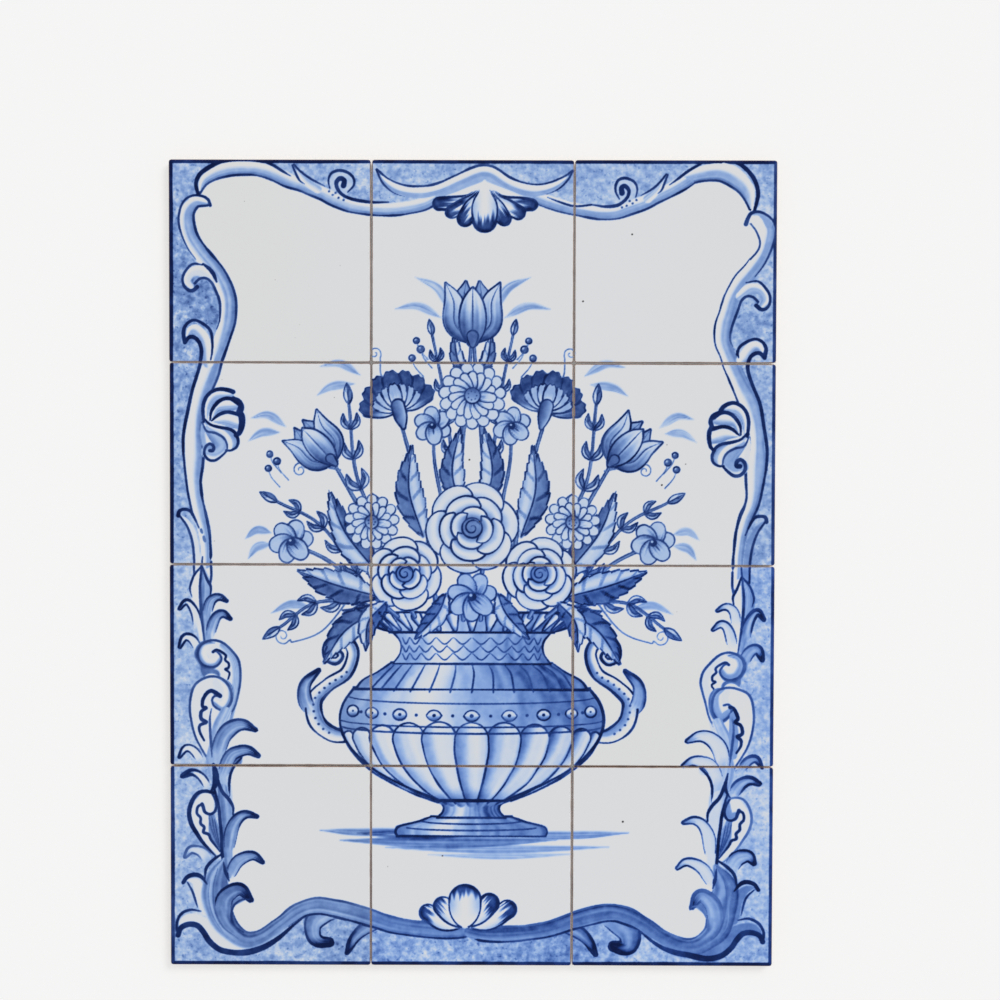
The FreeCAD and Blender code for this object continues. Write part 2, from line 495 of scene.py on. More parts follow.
# %% Paint the top
def top_ribbon(hand):
    at = on_side(hand)
    corner = {1: at((21, 255.5), (24, 264), (31, 269), (39.5, 272), (49.5, 273), (61, 272.5)),
              -1: on_right((17.9, 246), (19.8, 256.3), (25.2, 263.8), (36.5, 270.2), (47.3, 270.6),
                           (61.5, 267.3))}[hand]
    run = corner + at((72, 269.5), (83, 264.5), (94.5, 260.5), (105.5, 256), (116.5, 251), (127.5, 247),
                      (140.5, 245), (153, 244.5), (166, 246), (178, 249), (188, 255))
    broad = [1, 7, 9, 9.5, 9.5, 9.5, 9.5, 9, 9, 9.5, 9.5, 9, 8.5, 8.5, 9, 8.5, 6]
    if hand < 0:
        flood(sweep(on_right((22.5, 268), (29.5, 273.6), (37, 275.8)), 3.2), 0.0)
        broad[:5] = 2.5, 9.5, 12.5, 12.3, 11.2
    band(run, broad, hand, 0.38, 0.2, (0, 1.4))
    band(at((103, 258.5), (95, 264), (87, 273.5)), (6, 4.5, 0.5), hand, 0.25, 0.2)
    flood(blob(*at((119.5, 262.5))[0], 17), 0.14, 0.7)
    draw(at, 2.9, 0.95, (0.8, 0.4), (20, 255), (18.5, 262), (21, 268.5), (27.5, 273.5),
         (35, 277.5 - 0.5 * hand), (44 - 2 * hand, 279.5 - 1.5 * hand))
    draw(at, 1.9, 0.92, (0.6, 0.3), (64.5 + 2.5 * (hand - 1), 279.5 - 1.5 * hand), (72, 275),
         (78.5, 271), (84.5, 267.5))
    draw(at, 1.5, 0.88, (0.9, 0.3), (85.5, 275), (87.5, 270), (90.5, 264.5), (94, 262))
    draw(at, 1.5, 0.88, (0.8, 0.4), (86.5, 275.5), (91.5, 270.5), (98.5, 265.5), (108, 260.5))
    draw(at, 1.9, 0.88, (0.4, 0.5), (111.5, 259), (110.5, 264.5), (112.5, 269.5), (118, 271.5),
         (124, 270), (128, 266), (128, 261), (124, 256.5))
    draw(at, 2.3, 0.9, (1.7, 0.4), (121, 261), (121.5, 264.5), (118.5, 266), (116, 263), (117, 258.5),
         (120.5, 254.5), (127.5, 251.5), (140, 249.5), (152, 249.5))
    if hand < 0:
        stroke(on_right((128, 248), (139.5, 247), (150, 249.8), (159, 253.3)), 1.5, 0.86, (0.8, 0.4))
    for inset, height in ((111, 257), (113.5, 254.5), (115.5, 256), (117.5, 252.5), (121, 251)):
        ink(blob(*at((inset, height))[0], 1.6), 0.7)


def bow():
    run = [(-67, 272), (-60, 263.5), (-50, 258), (-36, 256.5), (-23.5, 259), (-10, 265), (1, 270),
           (7.5, 271.5), (14, 270), (24, 263.5), (33.5, 259.5), (44, 258), (55, 260.5), (64, 266),
           (69, 271.5)]
    under = [squared(*point) for point in ((-25, 254.5), (-12, 258), (8, 263), (26, 258), (40, 254.5))]
    flood(sweep(under, (3, 10, 13, 10, 3)), 0.27)
    mark = sweep([squared(*point) for point in run], (0.5, 5, 7.5, 8, 8, 8, 8, 8, 8, 8, 8, 8, 7, 5, 0.5))
    flood(mark, 0.34 * rise(0.1, -0.4, mark.across) * (1 + 0.25 * bristles(mark)))
    ends = rise(0.3, 0.45, np.abs(mark.along - 0.5))
    contour(mark, np.where(mark.across > 0, 1.5, 1.2 * ends), 0.85)
    for between in ((-18, 250), (-8, 246), (2, 243), (15, 243), (25, 246), (34, 250)):
        flood(sweep([squared(8, 263), squared(*between)], (3, 8)), 0.0)
    shell(squared(8, 264),
          [(-23.5, 248.5, 9, 0.3), (-14.5, 243, 9.5, 0.29), (-5.5, 238.5, 11.5, 0.28),
           (8.2, 237, 17.5, 0.24), (21.5, 238.5, 11, 0.28), (31.5, 242.5, 10, 0.29),
           (40.5, 248, 9, 0.3)], (0.14, 0.52, 1.0, 0.9), 0.5)


for hand in (1, -1):
    top_ribbon(hand)
bow()
print(f"{sweeps} strokes with the top")

# %% [markdown]
# ## The upper sides
# Below each upper corner a long ribbon starts in a knob, swings in towards the field, and runs down
# to the acanthus. Two bare lobes hook out of it over the ground, and the line of each runs on as the
# ribbon's outer line. A small shell sits on the ribbon's inner side, over a tight scroll.

# %% Paint the upper sides
# Where the bare side ends along the long ribbon, and the widths of its lines.
LONG_SHADE = {1: ((0.35, 0.4, 0.4, 0.1, -0.2, 0.0, 0.1), (0, 1.8)),
              -1: ((0.2, 0.2, 0.25, 0.25, 0.2, 0.1, 0.1),
                   ((0, 0.2, 1.3, 1.3, 1.3, 1.25, 1.2, 1.5, 2.0, 2.2, 2.4), 0))}
LOBE_SHADE = {1: 0.12, -1: 0.34}


def long_ribbon(hand):
    at = on_side(hand)
    run = at((26, 248.5), (18, 249), (12.5, 243), (11.8, 234), (14.5, 224.5), (21, 214.5), (29, 205),
             (35.5, 196), (40, 185.5), (41, 176.5), (39.7, 165), (36.5, 154), (32, 142), (27.5, 130),
             (22.5, 118.5), (18.3, 104.5), (17, 90), (17, 74), (16.8, 60), (18.3, 46), (21, 33),
             (24, 22), (25.5, 10), (26, -2))
    band(run,
         (3, 8.5, 11, 11, 11, 11.5, 11, 11.5, 12, 11, 11, 12, 14, 14.5, 13, 10.5, 13.5, 14, 10.5, 9.5,
          9, 7.5, 7, 6.5), -1, 0.39, *LONG_SHADE[hand])
    band(at((30, 196.5), (22, 201.5), (15.5, 200.5), (12.5, 195), (16, 190)), (6, 8, 6.5, 5.5, 3),
         -hand, LOBE_SHADE[hand])
    if hand < 0:
        flood(sweep(on_right((18.2, 238), (13.5, 238), (11.8, 235), (10.7, 230), (12.5, 223), (14, 218),
                             (18, 212)), (5, 5, 6, 4.5, 4, 3.5, 2)), 0.0)
        flood(sweep(on_right((16.4, 241.6), (12.6, 242), (8.5, 239.5), (5.3, 234.5)), (1.5, 3, 4.5, 5)),
              0.32)
        stroke(on_right((18, 235), (14.7, 230.8), (12.5, 226), (11.5, 221.2), (13.2, 216.2),
                        (18.2, 210.4)), 1.3, 0.84, (0.9, 0.9))
    foot = 144 - 6 * hand
    band(at((27, foot), (25.5, 152), (20, 160.5), (15, 161), (11.5, 154)), (7.5, 8, 7.5, 5, 1), -hand,
         0.32, -0.1)
    draw(at, 1.5, 0.85, (0.4, 1.75 - 0.25 * hand), (18.5, 209.5), (12.5, 218), (8, 228.5), (6.5, 237.5),
         (8, 246), (11.5, 251.5), (17, 254), (23, 253.5), (27, 251), (28.5, 247))
    draw(at, 1.8, 0.88, (0.4, 1.7), (25, 205.5), (17, 206.5), (12.5, 203), (9.5, 197.5), (10, 192),
         (13, 188.5), (16.5, 188), (19.5, 190.5))
    draw(at, 1.8, 0.86, (1.0, 0.3), (18, 193), (21, 196), (25.5, 196.5), (29.5, 193.5), (32.5, 187.5),
         (35, 181), (35.5, 174.5), (35, 167), (33, 161))
    draw(at, 2.0, 0.9, (1.5, 0.5), (11, 152), (10, 159.5), (12.5, 165), (17.5, 167.5), (23.5, 165),
         (28.5, 160.5), (30, 154), (30, foot + 8), (29, foot + 2))
    draw(at, 2.4, 0.93, (1.2, 0.8), (11, 152), (14, 155.5), (17.5, 155.5), (21, 152), (22.5, 146.5),
         (22, 140), (20, 131.5), (16, 118.5), (13, 104.5), (10, 88), (10, 74))
    draw(at, 1.6, 0.88, (1.0, 0.6), (10, 75), (11.5, 60), (13.5, 46), (16.5, 33), (19, 27.5), (21, 23))
    if hand > 0:
        draw(at, 2.6, 0.85, (0.5, 0.5), (23.5, 206.5), (28, 203), (31, 199), (33, 194))
        draw(at, 2.0, 0.58, (0.9, 0.5), (22.3, 22), (23.2, 19.5))
        draw(at, 2.2, 0.58, (0.9, 0.6), (24.3, 17), (25.2, 13.5))


def side_shell(hand):
    at = on_side(hand)
    flood(sweep(at((23.8, 96), (23.2, 90), (24, 83), (25.5, 78)), 3.5), 0.17 + 0.13 * hand)
    flood(sweep(at((27, 100), (32, 106.5), (38.5, 106.5), (45, 99.5)), (4, 17, 23, 19)), 0.02)
    for run in (((26, 99), (27, 108), (32, 114.5), (42, 115.5)), ((30, 99), (34, 106.5), (46, 108)),
                ((31, 97), (39, 97.5), (48, 95))):
        band(at(*run), (1, 5, 7.5, 6), hand, 0.34, 0.15)
    band(at((24, 97), (29, 92.5), (36, 90), (42, 86.5), (44.5, 82), (43, 78.5)), (3, 4.5, 5.5, 7, 7, 4),
         -hand, 0.34, 0.35)
    band(at((27.5, 91.5), (35, 85.5), (37.5, 80), (32.5, 75.5), (27.5, 76)), (6, 11, 13, 11.5, 10.5),
         hand, 0.36, 0.5)
    draw(at, 2.6, 0.93, (0.8, 1.2), (24, 97), (23.5, 106.5), (25.5, 113.5), (30, 118), (35.5, 119.5),
         (41, 118 + 0.8 * hand), (43.8 + 0.7 * hand, 116 + 1.6 * hand))
    draw(at, 2.5, 0.95, (0.4, 1.2), (28.5, 98), (29.5, 104.5), (34, 110.5), (39, 113), (43.5, 112.5),
         (48, 109.5))
    draw(at, 2.5, 0.95, (0.4, 1.2), (29.5, 97.5), (35, 102), (41, 103.5), (48.5, 102))
    draw(at, 2.2, 0.93, (0.6, 0.6), (23.5, 100), (28.5, 95), (35, 93), (41, 92), (45.5, 89.5), (48, 84),
         (47, 79.5), (43, 77), (39.5, 77))
    draw(at, 3.7 + 0.7 * hand, 0.93, (0.5, 0.7), (44.5, 113.5), (48.5, 111), (50, 107), (49, 103.5),
         (50.5, 100), (50.5, 94.5), (49, 89.5), (46.5, 87.5))
    draw(at, 1.6, 0.8, (0.6, 0.6), (23, 96.5), (26, 90.5), (32, 89), (37.5, 86), (40, 82), (40.5, 77.5))
    draw(at, 2.2 - 0.3 * hand, 0.9, (0.6, 1.3), (40.5, 77), (36.5, 73), (32, 70), (27.5, 70.5),
         (24.5, 74.5), (25.5, 79.5), (28.5, 81.5), (31, 79.5), (30.5, 76.8), (28.3, 76.8))


for hand in (1, -1):
    long_ribbon(hand)
    side_shell(hand)
print(f"{sweeps} strokes with the upper sides")

# %% [markdown]
# ## The acanthus down the lower sides
# The lower half of each side is a stem of acanthus. Out of a bud, half bare and half blue, it throws
# bare lobes outwards over the ground and blue ones inwards over the field. Between them two bare
# scrolls wind up, one over the other, each with a scalloped dark line down its inside.

# %% Paint the bud and the two scrolls
def hooked_end(hand):
    """The leaf beside the ribbon's end, and the bud that the ribbon ends in."""
    at = on_side(hand)
    flood(sweep(at((8, 32), (13, 27), (17.5, 17), (19.5, 4), (20.5, -8)), (0.5, 4.5, 5, 5, 4)),
          OUTWARDS[hand][0])
    shades = ((0.22, -0.75), (0.44, 1.5))[::hand]
    band(at((22.5, -4), (19, -14), (18.5, -22), (20.5, -34.5), (23.5, -53)), (1, 7, 8, 7, 5), hand,
         *shades[0])
    band(at((23.5, -3), (26, -14), (26.5, -22), (26, -34.5), (27, -54)), (1, 6.5, 7, 6.5, 6), hand,
         *shades[1])
    draw(at, 2.2, 0.92, (1.3, 0.7), (6.5, 31.5), (7.5, 35), (11.5, 36), (15.5, 34), (19, 27.5))
    draw(at, 1.7, 0.88, (0.8, 0.8), (7.5, 31.5), (12.5, 24.5), (16, 15), (17.5, 4), (17.8, -8))
    draw(at, 1.7, 0.85, (1.0, 0.6), (29.5, -0.5), (29.8, -10), (29, -16), (29.5, -20))
    draw(at, 1.9, 0.82, (0.5, 0.5), (23.5, 3), (22.5, -9.5), (22, -20), (23, -37.5), (25, -55))
    draw(at, 1.6, 0.9, (0.8, 0.3), (23, -3.5), (18, -9.5), (15.5, -16), (15, -20), (16.5, -25))
    draw(at, 1.8, 0.9, (0.8, 0.4), (23.5, -4), (26.5, -12), (29.5, -18), (29, -24))


def small_lobes(hand):
    at = on_side(hand)
    lobe(at((21, -50), (19, -37.5), (15.5, -30.5), (12, -28.5), (8, -33)), 6 - 0.5 * hand, -hand,
         *OUTWARDS[hand])
    lobe(at((22, -64), (18, -56), (14.5, -53), (11, -53.5), (8, -59.5)), 6.5 - hand, -hand, *OUTWARDS[hand])
    lobe(at((26.5, -40), (28.5, -29.5), (32, -25.5), (36, -25), (40.5, -27.5)), 6.5, hand, *INWARDS[hand])
    lobe(at((28, -55), (31, -43.5), (34, -38), (38, -36.5), (43, -40)), 7, hand, *INWARDS[hand])


def scrolls(hand):
    at = on_side(hand)
    flood(sweep(at((30, -60), (37, -66), (42.5, -78), (42, -93), (40, -106)), (10, 18, 16, 15, 8)), 0.02)
    flood(sweep(at((25, -72), (27, -77), (32, -79)), (6, 8, 8)), 0.6)
    band(at((37, -58.5), (44, -66), (47.3, -75), (47.3, -85), (45, -95), (41, -106), (38, -116)),
         (3, 5, 5.5, 6, 7, 9, 10), -hand, 0.75 * INWARDS[hand][0], 1.5)
    band(at((32, -57), (25, -58.5), (22.5, -64), (26, -70.5), (32, -71), (35.5, -67)),
         (1, 6, 8, 8, 7, 4), hand, 0.55, 0.35 - 0.25 * hand)
    draw(at, 1.7, 0.76, (0.6, 0.8), (41, -110), (46, -101.5), (48.5, -93), (50, -83.5), (50, -75),
         (48.5, -68), (44, -62), (38.5, -57), (33, -55), (27.5, -55.5), (22.5, -58.5), (20.5, -63),
         (21, -67.5), (23, -71), (26.5, -73), (31, -73.5), (35, -71.5), (37, -68), (35.5, -64.5),
         (33, -62.5), (31, -63))
    draw(at, 1.7, 0.93, (1.2, 0.7), (31, -63), (33.5, -61.5), (37, -63), (40, -65.5), (39.5, -68.5),
         (42, -71), (41.8, -74), (39.5, -75), (42.5, -77.5), (41.5, -82))
    flood(sweep(at((30, -84), (27.5, -92), (26.5, -103), (27, -118), (28.5, -134)),
                (12, 22, 22, 16, 3)), 0.02)
    flood(sweep(at((34, -84.5), (38, -90), (36.5, -98)), (6, 11, 9)), 0.06)
    band(at((35, -81.5), (41, -87), (41.7, -95), (38, -101), (33, -98)),
         np.array((2, 6, 7, 7, 4)) * (1.2 - 0.2 * hand), -hand, 0.5, 0.3 - 0.3 * hand)
    draw(at, 1.7, 0.74, (0.7, 0.9), (27.5, -137.5), (22.5, -129), (19, -122), (16.5, -113),
         (15, -102.5), (16, -92.5), (18.5, -86), (23.5, -82), (29.5, -80), (36, -81), (40.5, -84.5),
         (43.5, -90), (44, -96), (42, -100.5), (38, -103.5), (34.5, -102.5), (31.5, -100), (30.5, -96),
         (32.5, -93.5), (36, -94))
    if hand > 0:
        scallops = at((36, -93.5), (32.5, -91), (29.5, -90), (26.5, -92), (24, -96.5), (24, -101),
                      (26.5, -101.8), (23, -104.5), (23, -109.5), (26.5, -111.8), (22, -114),
                      (22, -118.5), (25, -124.5))
    else:
        flood(sweep(on_right((29.5, -106), (29, -118), (29, -134)), (5, 7, 5)), 0.4)
        scallops = on_right((31.5, -100), (28.5, -102), (26, -108), (28, -110.5), (24, -113),
                            (23, -118.5), (26.5, -120.5), (24, -123), (24, -127), (27, -132))
    stroke(scallops, 2.5, 0.93, (1.2, 0.6))


for hand in (1, -1):
    hooked_end(hand)
    small_lobes(hand)
    scrolls(hand)
print(f"{sweeps} strokes with the scrolls")

# %% [markdown]
# Below the scrolls the stem thickens and the lobes grow. A dark knot ties the upper leaf to the
# lower, and a bare loop with a hatched side fills the space on the left.

# %% Paint the lower stem
def lower_stem(hand):
    at = on_side(hand)
    band(at((40, -105), (35, -116), (33.5, -128), (34, -140), (36, -150), (40, -160), (43.5, -172)),
         (8, 9, 10, 14, 13, 9, 3), hand, 0.3, 0.9)
    lobe(at((24, -141), (19, -133), (15, -130), (11.5, -130.5), (8, -136)), 5.5, -hand, *OUTWARDS[hand])
    lobe(at((29, -160), (24.5, -151.5), (20, -147.5), (15.5, -146.5), (10, -149)), 6.2 - 1.2 * hand,
         -hand, OUTWARDS[hand][0], (2.2, 2.0))
    lobe(at((34, -136), (38, -122.5), (44.5, -115.5), (52, -113.5), (60.5, -117)), 10.5, hand,
         *INWARDS[hand], 0.25)
    flood(blob(*at((48, -138.5))[0], 7), INWARDS[hand][0])
    lobe(at((37, -150), (43, -136), (49.5, -132), (56, -131.5), (62.5, -135)), 9, hand, *INWARDS[hand],
         0.25)
    draw(at, 1.7, 0.75, (0.4, 0.4), (30, -102.5), (29, -109.5), (29.5, -123.5), (30.5, -136))
    draw(at, 1.9, 0.9, (0.7, 0.4), (51, -136.5), (45, -143.5), (42.5, -151.5), (42.5, -163))


# The loop's outer line: its width and tone.
LOOP_LINE = {1: (3.0, 0.95), -1: (1.8, 0.6)}


def hatched_loop(hand):
    at = on_side(hand)
    flood(sweep(at((26.5, -165), (24, -174), (26.5, -186), (32.5, -197), (36, -203)),
                (11, 17, 16, 10, 4)), 0.02)
    band(at((38, -158), (39.5, -170.5), (40.5, -183), (40.5, -195), (41, -206), (42.5, -219)),
         (7, 10, 9.5, 8, 8, 3), hand, 1.1 * INWARDS[hand][0], 1.0)
    flood(sweep(at((30.5, -177), (32, -187), (36.5, -200)), (4, 8, 3)), 0.45)
    if hand < 0:
        flood(sweep(at((31.2, -162.5), (31.3, -168), (29.3, -172.3), (26.2, -171)), (2, 5, 5, 3)), 0.42)
    for u in (0, 2.2, 4.2):
        stroke(at((28 + u, -175 - u), (30 + u, -186 - u), (36, -200)), 1.0, 0.72, (0.6, 0.6))
    draw(at, *LOOP_LINE[hand], (0.7, 0.4), (32, -161), (26, -159.5), (20.5, -161), (16.5, -166.5),
         (14.5, -174), (16, -182), (20, -189), (24, -195), (29, -200.5), (33, -204.5))
    draw(at, 1.9, 0.9, (0.8, 1.4), (30, -160.5), (32.5, -165), (33.5, -170), (32, -174), (29, -175.5),
         (25.5, -174), (24.3, -170.5), (23.5, -168.5))
    draw(at, 2.0, 0.88, (0.9, 0.5), (23.5, -168.5), (20.5, -170.5), (20, -175), (22.5, -178),
         (22.5, -182), (25, -184.5), (24.5, -188), (28, -189.5), (30, -193.5), (36, -201.5))
    draw(at, 3.2 + hand, 0.88, (0.5, 0.3), (31.5, -141), (33, -149), (32.5, -155), (29.5, -160))
    draw(at, 2.4, 0.93, (1.0, 0.5), (33, -148), (37, -159), (42, -165), (45, -170.5), (45, -176))
    draw(at, 2.3, 0.93, (0.8, 0.7), (32, -158), (35, -170.5), (36, -180.5), (37, -190), (37.5, -202.5),
         (39, -209.5), (41.5, -218.5))
    lobe(at((42, -202), (44, -187), (48.5, -178.5), (54.5, -175.5), (61.5, -177)), 8.5, hand,
         *INWARDS[hand], 0.15)
    lobe(at((42.5, -220), (47, -210), (53, -205.5), (59.5, -204.5), (65.5, -208.5)), 8, hand,
         *INWARDS[hand], 0.15)


for hand in (1, -1):
    lower_stem(hand)
    hatched_loop(hand)
print(f"{sweeps} strokes with the stem")

# %% [markdown]
# ## The bottom of the border
# A broad striped leaf sweeps round each lower corner into a blue ribbon, under one long dark stroke
# that gives the corner its weight. The two ribbons meet under a shell that stands just left of the
# middle, and two blue leaves hang from each.

# %% Paint the bottom
def bottom_ribbon(hand):
    at = on_side(hand)
    tongue = 0.03 if hand > 0 else 0.52
    lobe(at((124, -244), (110, -244), (101.5, -250), (101, -259), (105, -263.5), (112, -264)),
         15 - 2 * hand, -hand, 0.5 - 0.05 * hand, (1.8, 1.3), 0.3, (0.4, 0.75, 1.05, 0.85, 0.6, 0.4))
    lobe(at((150, -250), (138, -254), (130, -261), (124.5, -271.5)), 8, -hand, 0.55 - 0.05 * hand,
         (1.8, 1.3), 0.15)
    lobe(at((30, -211), (24.5, -203), (20, -200.5), (15.5, -200.5), (12, -205)), 8.5 - 1.5 * hand,
         -hand, 0.28 - 0.14 * hand, (1.4, 1.2), 0.4, dark=0.7 - 0.15 * hand)
    flood(sweep(at((26, -243), (22.5, -231), (19.5, -223), (13, -221)), (6, 8, 7, 1)), tongue)
    flood(sweep(at((34, -260), (25, -251), (16, -247.5), (10, -250), (8, -256)), (12, 9, 7, 5, 1)), tongue)
    flood(sweep(at((18, -249), (28, -257), (36, -265), (48, -268.5), (60, -267)), (4, 10, 8, 6, 2)), tongue)
    run = at((39, -207), (33.5, -221.5), (33, -235.5), (37.5, -249), (45.5, -258.5), (55, -263.5),
             (66, -260.5), (79, -251), (91, -242.5), (103, -239), (115, -240.5), (128, -243.5),
             (140, -247), (156, -252), (172, -254.5), (190, -256), (203, -256), (211, -254.5))
    mark = sweep(run, (3, 15, 20, 18, 14, 11.5, 10.5, 9.5, 10.5, 11.5, 12, 12, 11.5, 11, 10.5, 10.5, 10, 9))
    u = mark.across * hand
    leaf_share = rise(0.36, 0.2, mark.along)
    pale = 0.09 * (hand > 0) * rise(0.3, 0.4, mark.along) * rise(0.68, 0.58, mark.along)
    slope = leaf_share * mark.across + (1 - leaf_share) * u
    tone = 0.57 - 0.03 * hand - pale + 0.18 * bristles(mark, 4, 70) + 0.1 * slope
    stripes = 0.5 + 0.5 * np.cos(7.5 * (mark.across + 0.3) + 2 * mark.along)
    tone = tone * (1 - leaf_share * 0.5 * stripes * rise(0.6, 0.1, mark.across))
    lit = rise(0.46, 0.3, mark.along) * rise(0.08, 0.16, mark.along) * rise(-0.6, -1.0, u) * (hand > 0)
    flood(mark, tone * (1 - 0.75 * lit))
    contour(mark, np.where(u > 0, 1.3, 1.5 * rise(0.4, 0.5, mark.along)), np.where(u > 0, 0.7, 0.86),
            0.15, 0.03)
    flood(sweep(at((44, -237.8), (51.5, -233.8)), 4.5), 0.5)
    lobe(at((39, -254), (38.5, -237), (43.5, -230), (50.5, -228), (57, -235)), 11.5, hand,
         0.48 + 0.08 * hand, (1.9, 0.8), 0.4, dark=0.72 + 0.1 * hand)
    draw(at, 4.0, 0.9, (0.9, 0.2), (7, -259.5), (9, -254.5), (14.5, -252), (20.5, -253), (25, -258),
         (29, -264), (36, -269.5), (45, -271.5), (53.5, -271.5), (60.5, -270), (69, -266.5),
         (78, -260.5), (86.5, -253), (95, -246.5))
    draw(at, 2.0, 0.92, (1.0, 0.4), (7, -259), (6, -252), (9, -245), (15.5, -242), (23, -243))
    draw(at, 2.9, 0.96, (0.9, 0.3), (10.5, -223), (13.5, -219), (18.5, -217.5), (23, -219), (27, -224))
    draw(at, 1.6, 0.9, (0.6, 0.4), (13.5, -223), (17, -229.5), (20.5, -240))
    draw(at, 2.2, 0.93, (0.5, 0.4), (37.5, -203), (31, -207.5), (26.5, -213), (25.5, -221))
    draw(at, 1.2, 0.62, (0.3, 0.3), (34.5, -213), (31.5, -226), (32.5, -241.5), (38.5, -254),
         (49, -262))
    draw(at, 1.0, 0.5, (0.3, 0.3), (29, -221), (28, -233), (31, -246), (38.5, -258))
    draw(at, 2.0, 0.88, (0.4, 0.4), (38.5, -209), (40, -216), (42.5, -222))
    draw(at, 1.6, 0.68 + 0.1 * hand, (0.6, 0.5), (57, -234.5), (51, -235), (46.5, -238), (44.3, -242.5),
         (44.3, -248.5), (47.3, -254), (52.5, -257.5))


for hand in (1, -1):
    bottom_ribbon(hand)
shell(squared(-4.4, -252),
      [(-30, -243.5, 12, 0.22), (-19.5, -239, 13.5, 0.22), (-4.4, -235, 22, 0.19),
       (12.5, -237, 13.5, 0.3), (25, -241, 12.5, 0.24)])
print(f"{sweeps} strokes with the bottom")

# %% [markdown]
# ## The vase
# In the bare field stands a vase of flowers, a stock subject of old tile panels. A vase is round, so
# each section of it has a width at every height and a shade that runs across it: a glint left of
# the middle and deeper blue on the right. The sections have flat ends, which a brush sweep has not,
# so they get a mark of their own kind. Ribs and bands follow the round of the body: a place on it is
# an angle, and its sine is how far across it shows.

# %% Turned sections
def turned(low, high, widths):
    """A round section of the vase, seen from the side, with its width at equal steps of height."""
    most = max(widths) / 2 + REACH
    mark = Mark((-most, low - REACH), (most, high + REACH))
    share = np.clip((mark.y - low) / (high - low), 0, 1)
    half = 0.5 * through(widths, share[:, 0])[:, None]
    lean = np.gradient(half[:, 0], mark.y[:, 0])[:, None]
    side = (half - np.abs(mark.x)) / np.hypot(1, lean)
    mark.depth = np.minimum(side, np.minimum(mark.y - low, high - mark.y))
    mark.along = np.broadcast_to(share, mark.depth.shape)
    mark.across = np.clip(mark.x / half, -OUTSIDE, OUTSIDE)
    mark.length = high - low
    return mark


def round_shade(mark, tone):
    """The shade of a round body: a bare glint left of the middle, deeper blue to the right."""
    u = mark.across
    glint = np.exp(-((u + 0.38) / 0.2) ** 2)
    return tone * (0.55 + 0.65 * rise(-0.3, 0.95, u) + 0.35 * rise(-0.6, -1.0, u)) * (1 - 0.85 * glint)


def round_line(half, height, sag, width, reach=1.5):
    """A line round the body at one height, which sags in the middle as a circle seen from above does."""
    stroke([(half * np.sin(a), height - sag * np.cos(a)) for a in np.linspace(-reach, reach, 9)], width,
           0.85, (0.8, 0.8))


def section(low, high, widths, tone, line=1.5):
    """A plain shaded section with its outline."""
    mark = turned(low, high, widths)
    flood(mark, round_shade(mark, tone) * (1 + 0.35 * bristles(mark, 16, 24)))
    contour(mark, line, 0.92)
    return mark


print("a section's mark has", turned(0, 10, (20, 30)).depth.shape, "points")

# %% [markdown]
# The vase stands on a few level strokes of thin blue, its shadow on the ground. It is painted from
# the foot up, so that each section covers the edge of the one below, after the two scroll handles.

# %% Paint the vase
BELLY = (46, 92, 130, 156, 173, 182, 184, 178, 164)
BELLY_LOW, BELLY_HIGH = -165.0, -86.0


def shadow():
    for x0, x1, y, width, tone in ((-106, -40, -186, 5, 0.42), (-92, 60, -193, 7.5, 0.46),
                                   (-60, 96, -198, 5, 0.34), (20, 110, -188, 5.2, 0.46),
                                   (-30, 70, -203, 3.4, 0.26), (-80, 10, -188, 6, 0.5)):
        mark = sweep([(x0, y), ((x0 + x1) / 2, y - 1.2), (x1, y + 0.6)], (0.6, width, width, 0.6))
        tint(mark, tone * (1 + 0.45 * bristles(mark, 3, 60)))


def mirrored(hand):
    """A function that puts points given for the right side on either side."""
    def at(*points):
        return [(hand * x, y) for x, y in points]
    return at


def handle(hand):
    at = mirrored(hand)
    run = at((94, -60), (91.5, -64), (95.5, -67.5), (101, -64), (100, -56), (92, -51.5), (85, -56),
             (83, -64), (88, -76), (100, -84), (110, -95), (108, -110), (97, -119), (84, -120))
    mark = sweep(run, (3, 4, 5, 6, 7, 7.5, 8, 8.5, 9, 10, 10.5, 10.5, 9, 7))
    u = mark.across * hand
    flood(mark, 0.5 * rise(0.5, -0.7, u) * (1 + 0.3 * bristles(mark)))
    contour(mark, np.where(u > 0, 1.4, 1.9), 0.92)
    path = smooth_line(run)[0]
    for i in range(80, len(path) - 20, 6):
        ink(blob(*path[i], 1.7), 0.8)
    lobe(at((109, -106), (116, -96), (116, -84), (107, -74)), 9, -hand, 0.45)


def gadroons():
    """The swelling ribs round the lower belly, from the sides to the middle."""
    heights = np.linspace(BELLY_LOW + 2, BELLY_LOW + 46, 6)
    half = 0.5 * through(BELLY, (heights - BELLY_LOW) / (BELLY_HIGH - BELLY_LOW))
    angles = np.linspace(-1.28, 1.28, 11)
    for a in sorted(angles, key=lambda a: -abs(a)):
        rib = [(h * np.sin(a), v - 3 * np.cos(a)) for h, v in zip(half, heights)]
        mark = sweep(rib, np.maximum(2.12 * half * np.cos(a) * np.sin((angles[1] - angles[0]) / 2), 2.4))
        u = mark.across
        body = (0.25 + 0.35 * rise(-0.8, 1.2, a)) * (0.25 + rise(-0.1, 0.9, u) + 0.4 * rise(-0.7, -1.0, u))
        flood(mark, body + 0.35 * rise(0.3, 0, mark.along) + 0.06 * bristles(mark, 3))
        contour(mark, 1.25, 0.9, 0.05)


